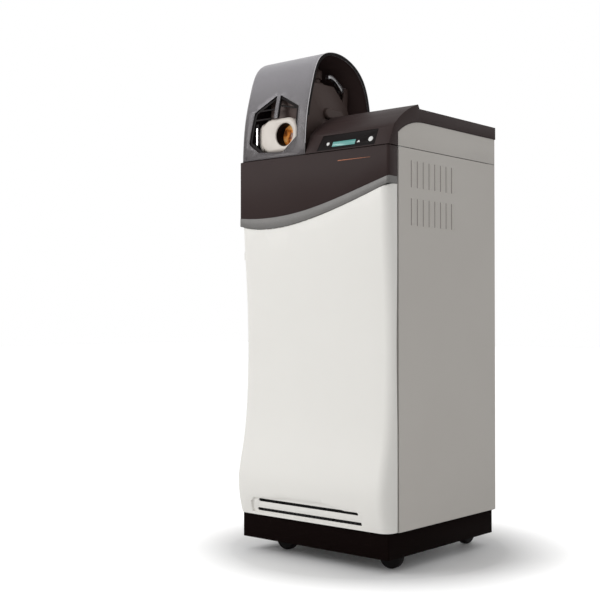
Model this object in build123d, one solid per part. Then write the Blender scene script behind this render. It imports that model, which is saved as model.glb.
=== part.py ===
from build123d import *
import os
from math import atan2, cos, degrees, hypot, pi, sin

# Floor-standing mass spectrometer with a tilting hood over its ion source.
# Millimetres. +X is the instrument's right, the front faces -Y, +Z is up, and the
# origin lies on the floor under the middle of the cabinet.

# ---------------------------------------------------------------- driving dimensions
cabinet_width = 550.0
fascia_y = -271.0
rear_y = 270.0
clearance = 0.4              # between pieces that move past each other
shaft_clearance = 0.05       # radial, shaft in its bore

# base and casters
base_top = 110.0
base_plate = 4.0
skirt_bottom = 40.0
skirt_wall = 3.0
skirt_inset = 8.0
skirt_corner = 6.0
pan_lip = 10.0
caster_inset = 85.0
caster_front_y = -178.0
caster_rear_y = 214.0
wheel_radius = 37.5
wheel_width = 26.0
wheel_tread = 5.0
caster_trail = 25.0
caster_plate_side = 76.0
caster_plate_thickness = 3.0
swivel_race_radius = 25.0
swivel_race_height = 6.0
race_taper = 3.0
kingpin_reach = 4.0          # below the fork's crown
fork_wall = 3.0
fork_gap = 2.5               # each side of the wheel
fork_front = 17.5
fork_rear = 14.0             # behind the axle
cheek_foot = 11.0
cheek_low = 8.0              # foot below the axle
cheek_corner = 8.0
axle_radius = 4.0
axle_head = 3.0
tread_bevel = 5.0
rim_width = 4.0
hub_radius = 10.0
dish_draft = 2.0
anchor_ear_width = 40.0
anchor_ear_length = 24.0
anchor_ear_corner = 8.0
anchor_hole_radius = 6.0
anchor_inset = 30.0

# sheet covers
sheet = 2.0
flange = 14.0
panel_top = 1148.0
door_gap_y = -225.0          # front edge of the side covers
strip_top = 1226.0
strip_front_y = -228.0
strip_shoulder_z = 1185.0
strip_flat_y = -100.0
strip_sag = 8.0              # halfway round the shoulder

# louvres
louvre_count = 8
louvre_pitch = 28.5
louvre_first_y = -165.0
louvre_height = 76.0
louvre_width = 12.0
louvre_depth = 3.0
louvre_crest = 3.5           # full height along its open side
louvre_wall = 1.2
louvre_end = 3.0
louvre_row_z = (937.0, 1041.0)

# top cover
moulding = 3.5
cover_top = 1262.0
cover_drop = 20.0            # opens the shell's foot
cover_side_reach = 1.5       # how far its rim stands out past the side covers
rim_gap = 1.0                # over the grey strip
well_port_radius = 36.0
slope_foot = (-272.0, 1150.0)
slope_head = (-248.0, 1204.0)
cover_crown = (-196.0, 1246.0)
cover_ridge = (-135.0, 1273.5)
cover_step_y = -128.0
cover_rear_y = 273.0
well_right_x = -17.0
well_rear_y = 39.0

# front fascia and silver band
fascia_wall = 3.0
fascia_corner = 8.0
fascia_return_y = -230.0
fascia_low = 900.0           # below the lowest point of both lines across the front
fascia_rib = 3.0
fascia_rib_levels = (1078.0, 1140.0)
fascia_rib_inset = 23.0
band_top_line = ((-1.0, 983.0), (-0.6, 976.5), (-0.1, 989.0), (0.5, 1029.0), (1.0, 1069.0))
band_bottom_line = ((-1.0, 961.0), (-0.55, 945.5), (0.0, 966.0), (0.55, 1008.0), (1.0, 1050.0))
band_reach = 1.2

# door
door_wall = 3.0
door_corner = 30.0
door_bottom = 112.0
door_back_y = -232.0
door_front = ((-275.0, 112.0), (-288.0, 165.0), (-291.6, 215.0), (-282.0, 272.0), (-268.5, 335.0),
              (-252.5, 500.0), (-255.0, 746.0), (-268.5, 940.0), (-271.0, 1075.0))
door_gap = 1.5
door_rib = 2.5
door_rib_inset = 47.0
door_rib_middle = (-40.0, 130.0)
door_rib_z = (185.0, 930.0)
grille_outline = ((-214.0, 120.0), (-214.0, 152.0), (-200.0, 164.0), (-60.0, 174.0), (60.0, 174.0),
                  (190.0, 153.0), (192.0, 118.0))
grille_corner = 5.0
grille_depth = 6.0
grille_slots = ((-186.0, 184.0, 157.0), (-196.0, 190.0, 129.0))
grille_slot_height = 9.0
filter_x = (-206.0, 198.0)
filter_y = -265.0
filter_thickness = 14.0
filter_height = 60.0
filter_border = 6.0
filter_recess = 4.0
pleat_pitch = 14.0
pleat_width = 6.0
pleat_height = 3.0
inner_panel_y = -236.0
inner_panel_top = 925.0
inner_panel_gap = 5.0
inner_slot_x = (-160.0, 200.0)
inner_slot_height = 40.0
inner_slot_levels = (330.0, 560.0, 790.0)
hinge_inset = 13.0
hinge_y = -243.0
hinge_pin_radius = 4.0
hinge_knuckle_radius = 8.0
hinge_knuckle_height = 22.0
hinge_arm_height = 9.0
hinge_arm_width = 9.0
hinge_arm_depth = 8.0
hinge_neck_drop = 12.0
hinge_pin_end = 3.0
hinge_levels = (190.0, 860.0)

# chassis
tube = 25.0
tube_wall = 2.0
front_post_y = -223.0
rear_post_y = 266.0
front_post_top = 1185.0
deck_thickness = 3.0
deck_gap = 3.0               # below the hood's foot
deck_inset = 15.0
shelf_z = 600.0
shelf_thickness = 2.0

# hood
hood_wall = 3.0
hood_right_x = -18.0
hood_bottom = 1150.0
hood_front_line = ((-271.0, 1150.0), (-262.0, 1262.0), (-236.0, 1369.0), (-197.0, 1443.0),
                   (-137.0, 1462.0), (-72.0, 1452.0), (-6.0, 1409.0), (28.0, 1335.0), (37.0, 1266.0))
hood_end_radius = 24.0
hood_rim = 9.0
hood_lap = 6.0               # rear wall reaches this far below the cover's top
window_outline = ((-238.0, 1199.0), (-226.0, 1294.0), (-150.0, 1336.0), (-130.0, 1336.0),
                  (-54.0, 1295.0), (-51.0, 1207.0), (-104.0, 1164.0), (-198.0, 1171.0))
window_corner = 8.0
spine_x = (-146.0, -133.0)
spine_bottom = 1268.0
bezel_thickness = 4.0
bezel_bar = 5.0
bezel_bar_levels = (1297.0, 1270.0)
bezel_slant_bar = ((-133.0, 1306.0), (-60.0, 1290.0))
bezel_border = 9.0
bezel_lap = 6.0
bezel_gap = 2.0
bezel_seat = 0.2             # off the hood's inner side
hood_hinge_y = 45.0
hood_hinge_z = 1273.0
hood_hinge_pin = 3.0
hood_hinge_barrel = 6.0
hood_hinge_x = (-232.0, -62.0)
hood_hinge_length = 18.0
hood_web_lap = 2.5           # into the hood's rear wall
hood_web_low = 1.5           # below the pin's axis
hood_foot_reach = 8.0        # each side of the hood's barrel
hood_foot_y = (1.0, 26.0)    # behind the pin's axis
hood_foot_thickness = 3.0
hood_post_y = (-1.0, 16.0)
hood_ear_radius = 5.0

# ion source
ion_axis_x = -107.0
ion_axis_z = 1217.0
housing_x = (-196.0, -58.0)
housing_front_y = -226.0
housing_rear_y = -14.0
housing_top = 1374.0
housing_brow = (-202.0, 1346.0)   # where the front's slope meets the front wall's top
housing_crown_y = -92.0
housing_heel = (-44.0, 1330.0)
housing_low_z = 1300.0
housing_wall = 8.0
housing_corner = 14.0
barrel_front_y = -259.0
barrel_left_x = -202.0
barrel_radius = 50.0
barrel_corner = 44.0
barrel_edge = 10.0
sight_radius = 34.0
glass_thickness = 6.0
probe_y = -118.0
probe_radius = 17.0
probe_rise = 62.0
probe_tip_rise = 21.0        # over the ion axis
probe_cone = ((0.0, 0.0), (1.5, 0.0), (3.0, 24.0), (9.0, 52.0))   # (radius, height over the tip)
probe_shoulder = 60.0
probe_collar = (24.0, 12.0)  # radius, height
probe_neck = 14.0
knob_radius = 19.0
knob_levels = (26.0, 50.0)   # over the chamber's top
knob_bevel = 3.0
knob_flutes = 12
flute_radius = 2.0
probe_inlet_radius = 6.0
interface_radius = 22.0
inlet_bore = 0.6
cone_tip = (2.0, -142.0)     # (radius, Y)
cone_base = (14.0, -108.0)
heater_radius = 26.0
heater_y = (-96.0, -60.0)
lever_y = -22.0
lever_z = 1374.0
lever_bore = 5.0
lever_hub = 10.0
lever_width = 14.0
lever_side = 14.0            # from the chamber's right face
lever_ear = 6.0
lever_ear_reach = (8.0, 6.0)
lever_foot_inset = (2.0, 4.0)
lever_over = ((4.0, 9.0), (-24.0, 22.0), (-52.0, 38.0), (-76.0, 36.0))    # (Y, Z) from the pin
lever_under = ((-76.0, 26.0), (-52.0, 26.0), (-26.0, 8.0), (-6.0, -8.0))
boss_place = (-100.0, 1290.0)
boss_length = 84.0
boss_height = 32.0
boss_reach = 12.0

# vacuum system
manifold_x = (-200.0, -14.0)
manifold_y = (42.5, 240.0)
manifold_bottom = 1046.0
manifold_top = 1248.0
manifold_wall = 12.0
manifold_depth = 62.0        # cavity below the ion axis
manifold_port = 10.0
lid_thickness = 8.0
lid_bevel = 2.0
rail_half = 26.0
rail_drop = 24.0             # rail's top below the ion axis
rail_thickness = 6.0
quad_rod_radius = 4.0
quad_field_radius = 7.9
yoke_radius = 20.0
yoke_foot = (30.0, 16.0)
yoke_thickness = 6.0
yoke_bore = 5.0
yoke_inset = 4.0
detector_front = 219.0
detector_half = 14.0
detector_rise = 18.0
detector_cup = (7.0, 5.0)    # radius, depth
turbo_radius = 62.0
turbo_height = 150.0
turbo_flange_radius = 82.0
turbo_rotor_radius = 50.0
turbo_discs = 6
turbo_wall = 5.0
turbo_floor = 14.0
turbo_taper = 12.0
turbo_flange_thickness = 10.0
turbo_flange_draft = 4.0
pump_well_gap = 4.0
spindle_radius = 5.0
spindle_top = 60.0
rotor_core = 16.0
rotor_skirt = 30.0
disc_pitch = 15.0
disc_edge = (2.0, 5.0, 7.0)  # heights of the rim's lower and upper edge, then the core's

# electronics
supply_x = (-60.0, 200.0)
supply_y = (-120.0, 120.0)
supply_height = 180.0
supply_corner = 4.0
vent_count = 10
vent_pitch = 22.0
vent_width = 8.0
vent_depth = 4.0
vent_levels = (30.0, 150.0)
generator_x = (20.0, 220.0)
generator_y = (-160.0, 60.0)
generator_height = 130.0
fin_count = 9
fin_pitch = 20.0
fin_thickness = 5.0
fin_height = 20.0
fin_inset = 10.0
board_x = (-40.0, 130.0)     # from data_x
board_z = (-60.0, 120.0)     # from data_z
board_gap = 20.0
board_thickness = 2.0
standoff_radius = 4.0
standoff_inset = 6.0
data_socket_x = (-28.0, 4.0)
data_socket_width = 24.0
data_socket_height = 16.0
data_socket_wall = 3.0
data_socket_depth = 8.0
data_socket_proud = 1.0
chip_count = 4
chip_start = 40.0
chip_pitch = 20.0
chip_size = (12.0, 5.0, 60.0)

# rear services
fan_side = 120.0
fan_depth = 25.0
fan_bore = 57.0
fan_corner = 6.0
fan_hub = 20.0
fan_cup = 4.0
fan_pin = 3.0
fan_strut = 5.0
fan_front_gap = 2.0
blade_gap = 1.5
blade_angle = 38.0
blade_thickness = 2.0
blade_chord = 23.0
fan_slot_pitch = 12.0
fan_slot_height = 6.0
fan_slot_rows = 4            # above and below the fan's axis
fan_blades = 7
fan_x = 120.0
fan_levels = (430.0, 900.0)
inlet_x = -190.0
inlet_z = 190.0
inlet_plate = (60.0, 72.0)
inlet_plate_thickness = 3.0
inlet_corner = 5.0
inlet_body = (46.0, 58.0)
inlet_depth = 40.0
inlet_fit = 1.0              # round the body in the rear panel
socket_half = 12.0
socket_levels = (-24.0, -7.0)
socket_depth = 20.0
pin_pitch = 7.0
pin_width = 2.0
pin_height = 5.0
pin_recess = 4.0
rocker_half = 11.0
rocker_rise = 14.0           # over the inlet's middle
rocker_space = 13.0
rocker_depth = 16.0
rocker_outline = ((-10.0, -5.0), (3.0, -10.5), (0.5, 0.0), (3.0, 10.5), (-10.0, 5.0))
rocker_pivot = 1.5
rocker_pivot_depth = 6.0
foreline_x = -110.0
foreline_z = 520.0
foreline_bore = 12.0
foreline_flange = 20.0
foreline_wall = 2.0
foreline_inside = 60.0
foreline_draft = 3.0
foreline_collar = (26.0, 3.0)
foreline_hole = 18.0
exhaust_x = -190.0
exhaust_z = 1090.0
exhaust_bore = 8.0
exhaust_radius = 12.0
exhaust_neck = 10.5
exhaust_inside = 20.0
exhaust_collar = (20.0, 3.0)
exhaust_hole = 14.0
barb_count = 3
barb_pitch = 5.0
barb_length = 4.5
gas_x = -190.0
gas_z = 980.0
gas_pitch = 40.0
gas_bore = 3.2
gas_body = 6.0
gas_hole = 7.0
gas_nut = (9.0, 6.0)         # radius over corners, height
gas_nose = (7.5, 9.0)
gas_lock = (9.0, 5.0)
gas_inside = 22.0
data_x = -190.0
data_z = 330.0
data_cutout = (30.0, 9.0)

# control panel, measured along the sloped face from its foot
panel_left_x = 25.0
panel_inset = 47.0           # from the cabinet's right side
panel_run = (3.0, 52.0)
panel_slant = 9.0
panel_recess = 2.0
display_x = (77.0, 157.0)
display_run = (12.5, 28.0)
menu_x = 60.7
menu_run = 23.0
menu_radius = 5.0
power_inset = 65.0
power_run = 22.0
power_radius = 7.5
button_reach = 1.0
button_edge = 0.8
keeper_lip = 1.5
keeper_thickness = 1.2
panel_corner = 2.0
plate_fit = 0.2
plate_top = -0.6             # the glossy plate's face, under the cover's slope
display_top = -0.3

half = cabinet_width / 2
caster_x = half - caster_inset
anchor_spacing = cabinet_width - 2 * anchor_inset
hinge_x = -half + hinge_inset
hood_left_x = -half
door_rib_x = (-half + door_rib_inset, *door_rib_middle)
panel_x = (panel_left_x, half - panel_inset)
power_x = half - power_inset
deck_top = hood_bottom - deck_gap
deck_under = deck_top - deck_thickness
beyond = 2 * cover_top       # a length that clears the whole cabinet
rear_reach = -Spline(*door_front).bounding_box().min.X     # as far back as the door stands ahead
lever_x = (housing_x[1] - lever_side - lever_width, housing_x[1] - lever_side)
rocker_z = inlet_z + rocker_rise
turbo_axis_y = (manifold_y[0] + manifold_y[1]) / 2
gas_places = [gas_x + i * gas_pitch for i in range(2)]


# ------------------------------------------------------------------ shared operations
def block(x, y, z):
    """Box between two corners, given as (low, high) pairs."""
    centre = Pos((x[0] + x[1]) / 2, (y[0] + y[1]) / 2, (z[0] + z[1]) / 2)
    return centre * Box(x[1] - x[0], y[1] - y[0], z[1] - z[0])


def side_prism(face, x0, x1):
    """Face drawn in (Y, Z), running along X."""
    return extrude(Plane.YZ.offset(x0) * face, amount=x1 - x0)


def front_prism(face, y0, y1):
    """Face drawn in (X, Z), running along Y."""
    return extrude(Plane.XZ.offset(-y1) * face, amount=y1 - y0)


def plan_prism(face, z0, z1):
    """Face drawn in (X, Y), running along Z."""
    return extrude(Plane.XY.offset(z0) * face, amount=z1 - z0)


def rod(radius, start, end):
    """Cylinder between two points."""
    axis = Vector(*end) - Vector(*start)
    return extrude(Plane(origin=start, z_dir=axis) * Circle(radius), amount=axis.length)


def ion_axis_rod(radius, y0, y1):
    """Cylinder along the ion axis."""
    return rod(radius, (ion_axis_x, y0, ion_axis_z), (ion_axis_x, y1, ion_axis_z))


def mirrored(shape):
    """Shape on the other side of the cabinet's middle plane."""
    return mirror(shape, about=Plane.YZ)


def closed_face(*points):
    """Flat face inside straight lines between points."""
    return make_face(Polyline(*points, close=True))


def slot_face(x0, x1, z, height):
    """Slot with round ends, in (X, Z)."""
    return Pos((x0 + x1) / 2, z) * SlotOverall(x1 - x0, height)


# ----------------------------------------------------------------------- the outlines
def cover_outline(drop):
    """Area under the top cover's profile, closed at its foot and moved in by drop."""
    foot = (slope_foot[0], slope_foot[1])
    edges = [
        Line(foot, slope_head),
        ThreePointArc(slope_head, cover_crown, cover_ridge),
        Polyline(cover_ridge, (cover_step_y, cover_top), (cover_rear_y, cover_top)),
        Polyline((cover_rear_y, cover_top), (cover_rear_y, foot[1]), foot),
    ]
    face = make_face(Curve() + edges)
    return face if drop == 0 else offset(face, amount=-drop)


def strip_outline(grow):
    """Grey strip under the top cover's rim, made larger by grow all round."""
    front = strip_front_y - grow
    top = strip_top + grow
    rear = cover_rear_y + grow
    foot = hood_bottom - grow
    shoulder = (front, strip_shoulder_z + grow)
    middle = ((front + strip_flat_y) / 2, top - strip_sag)
    edges = [
        Spline(shoulder, middle, (strip_flat_y, top), tangents=((1.0, 0.8), (1.0, 0.0))),
        Polyline((strip_flat_y, top), (rear, top), (rear, foot), (front, foot), shoulder),
    ]
    return make_face(Curve() + edges)


def band_area(line, rise, ceiling):
    """Area above a line across the front, from the line raised by rise up to ceiling."""
    points = [(share * (half + 10.0), z + rise) for share, z in line]
    edges = [
        Spline(*points),
        Polyline(points[-1], (points[-1][0], ceiling), (points[0][0], ceiling), points[0]),
    ]
    return make_face(Curve() + edges)


def moved_line(points, distance, count=12):
    """Spline through points, moved sideways by distance towards its right."""
    line = Spline(*points)
    if distance == 0:
        return line
    places = [i / count for i in range(count + 1)]
    moved = []
    for place in places:
        along = line % place
        moved.append(line @ place + Vector(along.Y, -along.X) * distance)
    return Spline(*moved, tangents=(line % 0, line % 1))


def hood_outline(drop):
    """Area under the hood's arch, moved in by drop."""
    line = moved_line(hood_front_line, drop)
    first = line @ 0
    last = line @ 1
    floor = hood_bottom - 10.0
    return make_face(Curve() + [line, Polyline(last, (last.X, floor), (first.X, floor), first)])


def window_area(grow):
    """Shield-shaped window in the hood's front, made larger by grow."""
    face = closed_face(*window_outline)
    face = fillet(face.vertices(), window_corner)
    return face if grow == 0 else offset(face, amount=grow)


# -------------------------------------------------------------------- base and casters
def base_frame():
    """Black pan with a skirt on three sides, open at the rear, and two anchor ears."""
    side = half - skirt_inset
    front = fascia_y + skirt_inset
    back = rear_y - skirt_inset
    under = base_top - base_plate
    plate = block((-side, side), (front, back), (under, base_top))
    skirt = block((-side, side), (front, back), (skirt_bottom, under))
    inside = block((-side + skirt_wall, side - skirt_wall), (front + skirt_wall, back + 1), (0, under))
    lip = block((-side, side), (back - skirt_wall, back), (under - pan_lip, under))
    pan = plate + (skirt - inside) + lip
    corners = pan.edges().filter_by(Axis.Z).filter_by(lambda e: abs(e.center().Y - front) < 0.1)
    pan = fillet(corners, skirt_corner)
    hole_y = back + anchor_ear_length / 2
    for x in (-anchor_spacing / 2, anchor_spacing / 2):
        width = (x - anchor_ear_width / 2, x + anchor_ear_width / 2)
        ear = block(width, (back, back + anchor_ear_length), (under, base_top))
        ear = fillet(ear.edges().filter_by(Axis.Z).group_by(Axis.Y)[-1], anchor_ear_corner)
        pan = pan + ear - rod(anchor_hole_radius, (x, hole_y, 0), (x, hole_y, base_top + 1))
    return pan


caster_plate_z = base_top - base_plate - caster_plate_thickness
race_z = caster_plate_z - swivel_race_height
crown_top = race_z - clearance
fork_top = crown_top - fork_wall
caster_places = {
    "front_left": (-caster_x, caster_front_y, 0.0),
    "front_right": (caster_x, caster_front_y, 0.0),
    "rear_left": (-caster_x, caster_rear_y, 90.0),
    "rear_right": (caster_x, caster_rear_y, 90.0),
}


def caster_plates():
    """Bolted plates with the swivel race and kingpin under each."""
    plates = []
    side = caster_plate_side / 2
    levels = (caster_plate_z, caster_plate_z + caster_plate_thickness)
    for x, y, turn in caster_places.values():
        plate = block((x - side, x + side), (y - side, y + side), levels)
        race = Cone(swivel_race_radius - race_taper, swivel_race_radius, swivel_race_height)
        race = Pos(x, y, race_z + swivel_race_height / 2) * race
        pin = rod(axle_radius, (x, y, fork_top - kingpin_reach), (x, y, race_z))
        plates.append(plate + race + pin)
    return Compound(children=plates)


def caster_fork(place):
    """Swivel fork with its axle, trailing behind the kingpin."""
    x, y, turn = place
    near = wheel_width / 2 + fork_gap
    far = near + fork_wall
    rear = caster_trail + fork_rear
    foot = wheel_radius - cheek_low
    crown = rod(swivel_race_radius, (0, 0, fork_top), (0, 0, crown_top))
    bridge = block((-fork_front, rear), (-far, far), (fork_top, crown_top))
    cheek = closed_face((-fork_front, fork_top), (rear, fork_top), (caster_trail + cheek_foot, foot),
                        (caster_trail - cheek_foot, foot))
    cheek = fillet(cheek.vertices().group_by(Axis.Y)[0], cheek_corner)
    cheeks = front_prism(cheek, near, far) + front_prism(cheek, -far, -near)
    hole = rod(axle_radius + shaft_clearance, (0, 0, 0), (0, 0, base_top))
    end = far + axle_head
    axle = rod(axle_radius, (caster_trail, -end, wheel_radius), (caster_trail, end, wheel_radius))
    fork = crown + bridge + cheeks + axle - hole
    return Pos(x, y, 0) * Rot(0, 0, turn) * fork


def caster_wheel(place):
    """Hub and tread turned as one wheel."""
    x, y, turn = place
    side = wheel_width / 2
    dish = side - wheel_tread
    bore = axle_radius + shaft_clearance
    shoulder = wheel_radius - tread_bevel
    section = closed_face((bore, -side), (shoulder, -side), (wheel_radius, -side + tread_bevel),
                          (wheel_radius, side - tread_bevel), (shoulder, side), (shoulder - rim_width, side),
                          (shoulder - rim_width - dish_draft, dish), (hub_radius + dish_draft, dish),
                          (hub_radius, side), (bore, side))
    wheel = Pos(caster_trail, 0, wheel_radius) * revolve(section, Axis.Y)
    return Pos(x, y, 0) * Rot(0, 0, turn) * wheel


# --------------------------------------------------------------------------- covers
def louvre_hood(y, z):
    """Outer and inner forms of one pressed louvre, closed at its front and open at its rear."""
    top = z + louvre_height
    tip = half + louvre_depth
    ramp = 2 * louvre_depth
    rear = y + louvre_width
    low = z + louvre_end
    high = top - louvre_end
    inside = half - sheet - 1
    skin = half - louvre_wall / 2
    crest = tip - louvre_wall
    under = half - sheet
    outer = closed_face((under, z), (half, z), (tip, z + ramp), (tip, top - ramp), (half, top), (under, top))
    inner = closed_face((inside, low), (skin, low), (crest, low + ramp), (crest, high - ramp), (skin, high),
                        (inside, high))
    wedge = closed_face((half, y), (tip + 1, y), (tip + 1, rear - louvre_crest))
    wedge = plan_prism(wedge, z - 1, top + 1)
    outer = front_prism(outer, y, rear)
    inner = front_prism(inner, y + louvre_wall, rear + 1)
    return outer - wedge, inner - Pos(-louvre_wall, 0, 0) * wedge


def side_panel():
    """Right side cover: flanged sheet with two rows of pressed louvres."""
    levels = (base_top, panel_top)
    plate = block((half - sheet, half), (door_gap_y, rear_y - sheet), levels)
    front_fold = block((half - flange, half - sheet), (door_gap_y, door_gap_y + sheet), levels)
    rear_fold = block((half - flange, half - sheet), (rear_y - 2 * sheet, rear_y - sheet), levels)
    panel = plate + front_fold + rear_fold
    for z in louvre_row_z:
        for i in range(louvre_count):
            hood, space = louvre_hood(louvre_first_y + i * louvre_pitch, z)
            panel = panel + hood - space
    return panel


def upper_side():
    """Right upper strip with its rounded front corner under the top cover's rim."""
    strip = side_prism(strip_outline(0), half - sheet, half)
    return strip & block((0, half), (-half, rear_y - sheet), (0, cover_top))


def upper_side_left():
    """Left upper strip, behind the hood's end wall."""
    return mirrored(upper_side() & block((0, half), (well_rear_y + moulding + 1, rear_y), (0, cover_top)))


def top_cover():
    """Dark moulded cover: sloped control face, ridge, flat top, side rims and the source well's walls."""
    side = half + cover_side_reach
    outline = cover_outline(0)
    hollow = cover_outline(moulding)
    shell = outline - (hollow + Pos(0, -cover_drop) * hollow)
    rim = outline - strip_outline(rim_gap)
    levels = (hood_bottom, cover_top + cover_drop)
    well_depth = (well_rear_y, well_rear_y + moulding)
    well_right = well_right_x + moulding
    front_right = block((well_right_x, side), (-beyond, well_rear_y), levels)
    rear = block((-side, side), (well_rear_y, beyond), levels)
    skin = side_prism(shell, -side, side) & (front_right + rear)
    right_rim = side_prism(rim, half - sheet, side)
    left_rim = side_prism(rim, -side, -half + sheet) & rear
    well_side = side_prism(outline, well_right_x, well_right) & front_right
    well_back = block((-side, well_right), well_depth, (hood_bottom, cover_top))
    cover = skin + right_rim + left_rim + well_side + well_back
    port = ion_axis_rod(well_port_radius, well_depth[0] - 1, well_depth[1] + 1)
    open_back = block((-beyond, beyond), (cover_rear_y - moulding - 1, beyond), (hood_bottom - 1, strip_top))
    return cover - port - open_back - panel_pocket() - button_holes()


# -------------------------------------------------------------------- control panel
slope_length = hypot(slope_head[0] - slope_foot[0], slope_head[1] - slope_foot[1])
slope_rise = (slope_head[1] - slope_foot[1]) / slope_length
slope_back = (slope_head[0] - slope_foot[0]) / slope_length
slope_plane = Plane(origin=(0, *slope_foot), x_dir=(1, 0, 0), z_dir=(0, -slope_rise, slope_back))


def slope_prism(face, low, high):
    """Face drawn on the sloped control face, between two heights above it."""
    return extrude(slope_plane.offset(low) * face, amount=high - low)


def panel_face(inset):
    """Control panel's outline, made smaller by inset all round."""
    x0, x1 = panel_x
    s0, s1 = panel_run
    face = closed_face((x0 + inset, s0 + inset), (x1 - inset, s0 + inset), (x1 - inset, s1 - inset),
                       (x0 + panel_slant + inset, s1 - inset))
    return fillet(face.vertices(), panel_corner)


def panel_pocket():
    """Shallow pocket in the sloped face for the control panel's plate."""
    return slope_prism(panel_face(0), -panel_recess, moulding)


def button_holes():
    """Clear holes for the two button caps."""
    low = -2 * moulding
    menu = slope_prism(Pos(menu_x, menu_run) * Circle(menu_radius + clearance), low, moulding)
    return menu + slope_prism(Pos(power_x, power_run) * Circle(power_radius + clearance), low, moulding)


def display_face():
    """Display's outline on the sloped face."""
    x0, x1 = display_x
    s0, s1 = display_run
    return Pos((x0 + x1) / 2, (s0 + s1) / 2) * Rectangle(x1 - x0, s1 - s0)


def control_bezel():
    """Glossy plate set in the sloped face, cut for the display and the two buttons."""
    plate = slope_prism(panel_face(plate_fit), -panel_recess, plate_top)
    return plate - slope_prism(display_face(), -panel_recess - 1, 1) - button_holes()


def display():
    """Display glass in the plate's window."""
    return slope_prism(display_face(), -panel_recess, display_top)


def button(x, run, radius):
    """Button cap with a retaining flange behind the cover wall."""
    seat = -moulding - clearance
    cap = slope_prism(Pos(x, run) * Circle(radius), seat, button_reach)
    cap = fillet(cap.edges().sort_by(Axis(slope_plane.origin, slope_plane.z_dir))[-1], button_edge)
    return cap + slope_prism(Pos(x, run) * Circle(radius + keeper_lip), seat - keeper_thickness, seat)


# ------------------------------------------------------------------ fascia, band, door
def front_shell(front, corner, wall):
    """U-shaped wall round the cabinet's front, with rounded corners."""
    rear = fascia_return_y
    outer = closed_face((-half, front), (half, front), (half, rear), (-half, rear))
    outer = fillet(outer.vertices().group_by(Axis.Y)[0], corner)
    side = half - wall
    inner = closed_face((-side, front + wall), (side, front + wall), (side, rear + 1), (-side, rear + 1))
    inner = fillet(inner.vertices().group_by(Axis.Y)[0], corner - wall)
    return plan_prism(outer - inner, fascia_low, panel_top)


def front_fascia():
    """Dark fascia above the silver band, stood off the posts by two ribs."""
    shell = front_shell(fascia_y, fascia_corner, fascia_wall)
    shell = shell & front_prism(band_area(band_top_line, 0, panel_top), -beyond, 0)
    for side in (-1, 1):
        x = side * (half - fascia_rib_inset)
        width = (x - fascia_rib / 2, x + fascia_rib / 2)
        shell = shell + block(width, (fascia_y + fascia_wall, front_post_y), fascia_rib_levels)
    return shell


def trim_band():
    """Silver band that sweeps up across the front between fascia and door."""
    shell = front_shell(fascia_y - band_reach, fascia_corner, fascia_wall + band_reach)
    above = front_prism(band_area(band_top_line, 0, beyond), -beyond, 0)
    below = front_prism(band_area(band_bottom_line, 0, beyond), -beyond, 0)
    return (shell & below) - above


def door_profile(drop):
    """Door section in (Y, Z): a shallow S at the front, straight behind its back edge."""
    line = [(y + drop, z) for y, z in door_front]
    first = line[0]
    last = line[-1]
    behind = door_back_y + door_corner
    face = make_face(Curve() + [Spline(*line), Polyline(last, (behind, last[1]), (behind, first[1]), first)])
    if drop:
        face = face - Pos(behind, first[1]) * Rectangle(-door_back_y, 2 * drop)
    return face


def door_solid(drop):
    """Door's outer or inner form with its two long edges rounded."""
    form = side_prism(door_profile(drop), -half + drop, half - drop)
    long_edges = [e for e in form.edges() if e.length > cabinet_width + 1 and e.center().Y < door_back_y]
    form = fillet(long_edges, door_corner - drop)
    back = door_back_y if drop == 0 else door_back_y + door_wall
    return form & block((-half, half), (-beyond, back), (0, panel_top))


def door_cut(rise):
    """Everything above the door's top edge, lowered by rise."""
    return front_prism(band_area(band_bottom_line, -rise, beyond), -beyond, door_back_y + door_corner)


def grille_area(grow):
    """Grille recess seen from the front, made larger by grow all round."""
    face = closed_face(*grille_outline)
    face = fillet(face.vertices(), grille_corner)
    return face if grow == 0 else offset(face, amount=grow)


def front_door():
    """White moulded door with an S-shaped face, a set-back air grille and hinge knuckles."""
    outer = door_solid(0)
    hollow = door_solid(door_wall)
    inward = Pos(0, grille_depth, 0)
    recess = front_prism(grille_area(0), -beyond, inner_panel_y) - inward * outer
    recess_back = front_prism(grille_area(door_wall), -beyond, inner_panel_y) - inward * hollow
    hollow = hollow - door_cut(door_gap + door_wall) - recess_back
    door = outer - door_cut(door_gap) - hollow - recess
    for x0, x1, z in grille_slots:
        door = door - front_prism(slot_face(x0, x1, z, grille_slot_height), -beyond, inner_panel_y)
    for x in door_rib_x:
        door = door + (block((x, x + door_rib), (-beyond, inner_panel_y), door_rib_z) & hollow)
    for z in hinge_levels:
        top = z + hinge_knuckle_height
        knuckle = rod(hinge_knuckle_radius, (hinge_x, hinge_y, z), (hinge_x, hinge_y, top))
        depth = (hinge_y - hinge_knuckle_radius, hinge_y + hinge_knuckle_radius)
        web = block((-half + door_wall / 2, hinge_x), depth, (z, top))
        bore = rod(hinge_pin_radius + shaft_clearance, (hinge_x, hinge_y, z - 1), (hinge_x, hinge_y, top + 1))
        door = door + knuckle + web - bore
    return door


def door_inner_panel():
    """Steel sheet behind the door moulding, between its ribs and right wall."""
    width = (door_rib_x[0], half - door_wall - inner_panel_gap)
    back = inner_panel_y + sheet
    panel = block(width, (inner_panel_y, back), (door_bottom + door_wall, inner_panel_top))
    for z in inner_slot_levels:
        slot = slot_face(*inner_slot_x, z, inner_slot_height)
        panel = panel - front_prism(slot, inner_panel_y - 1, back + 1)
    return panel


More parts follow.
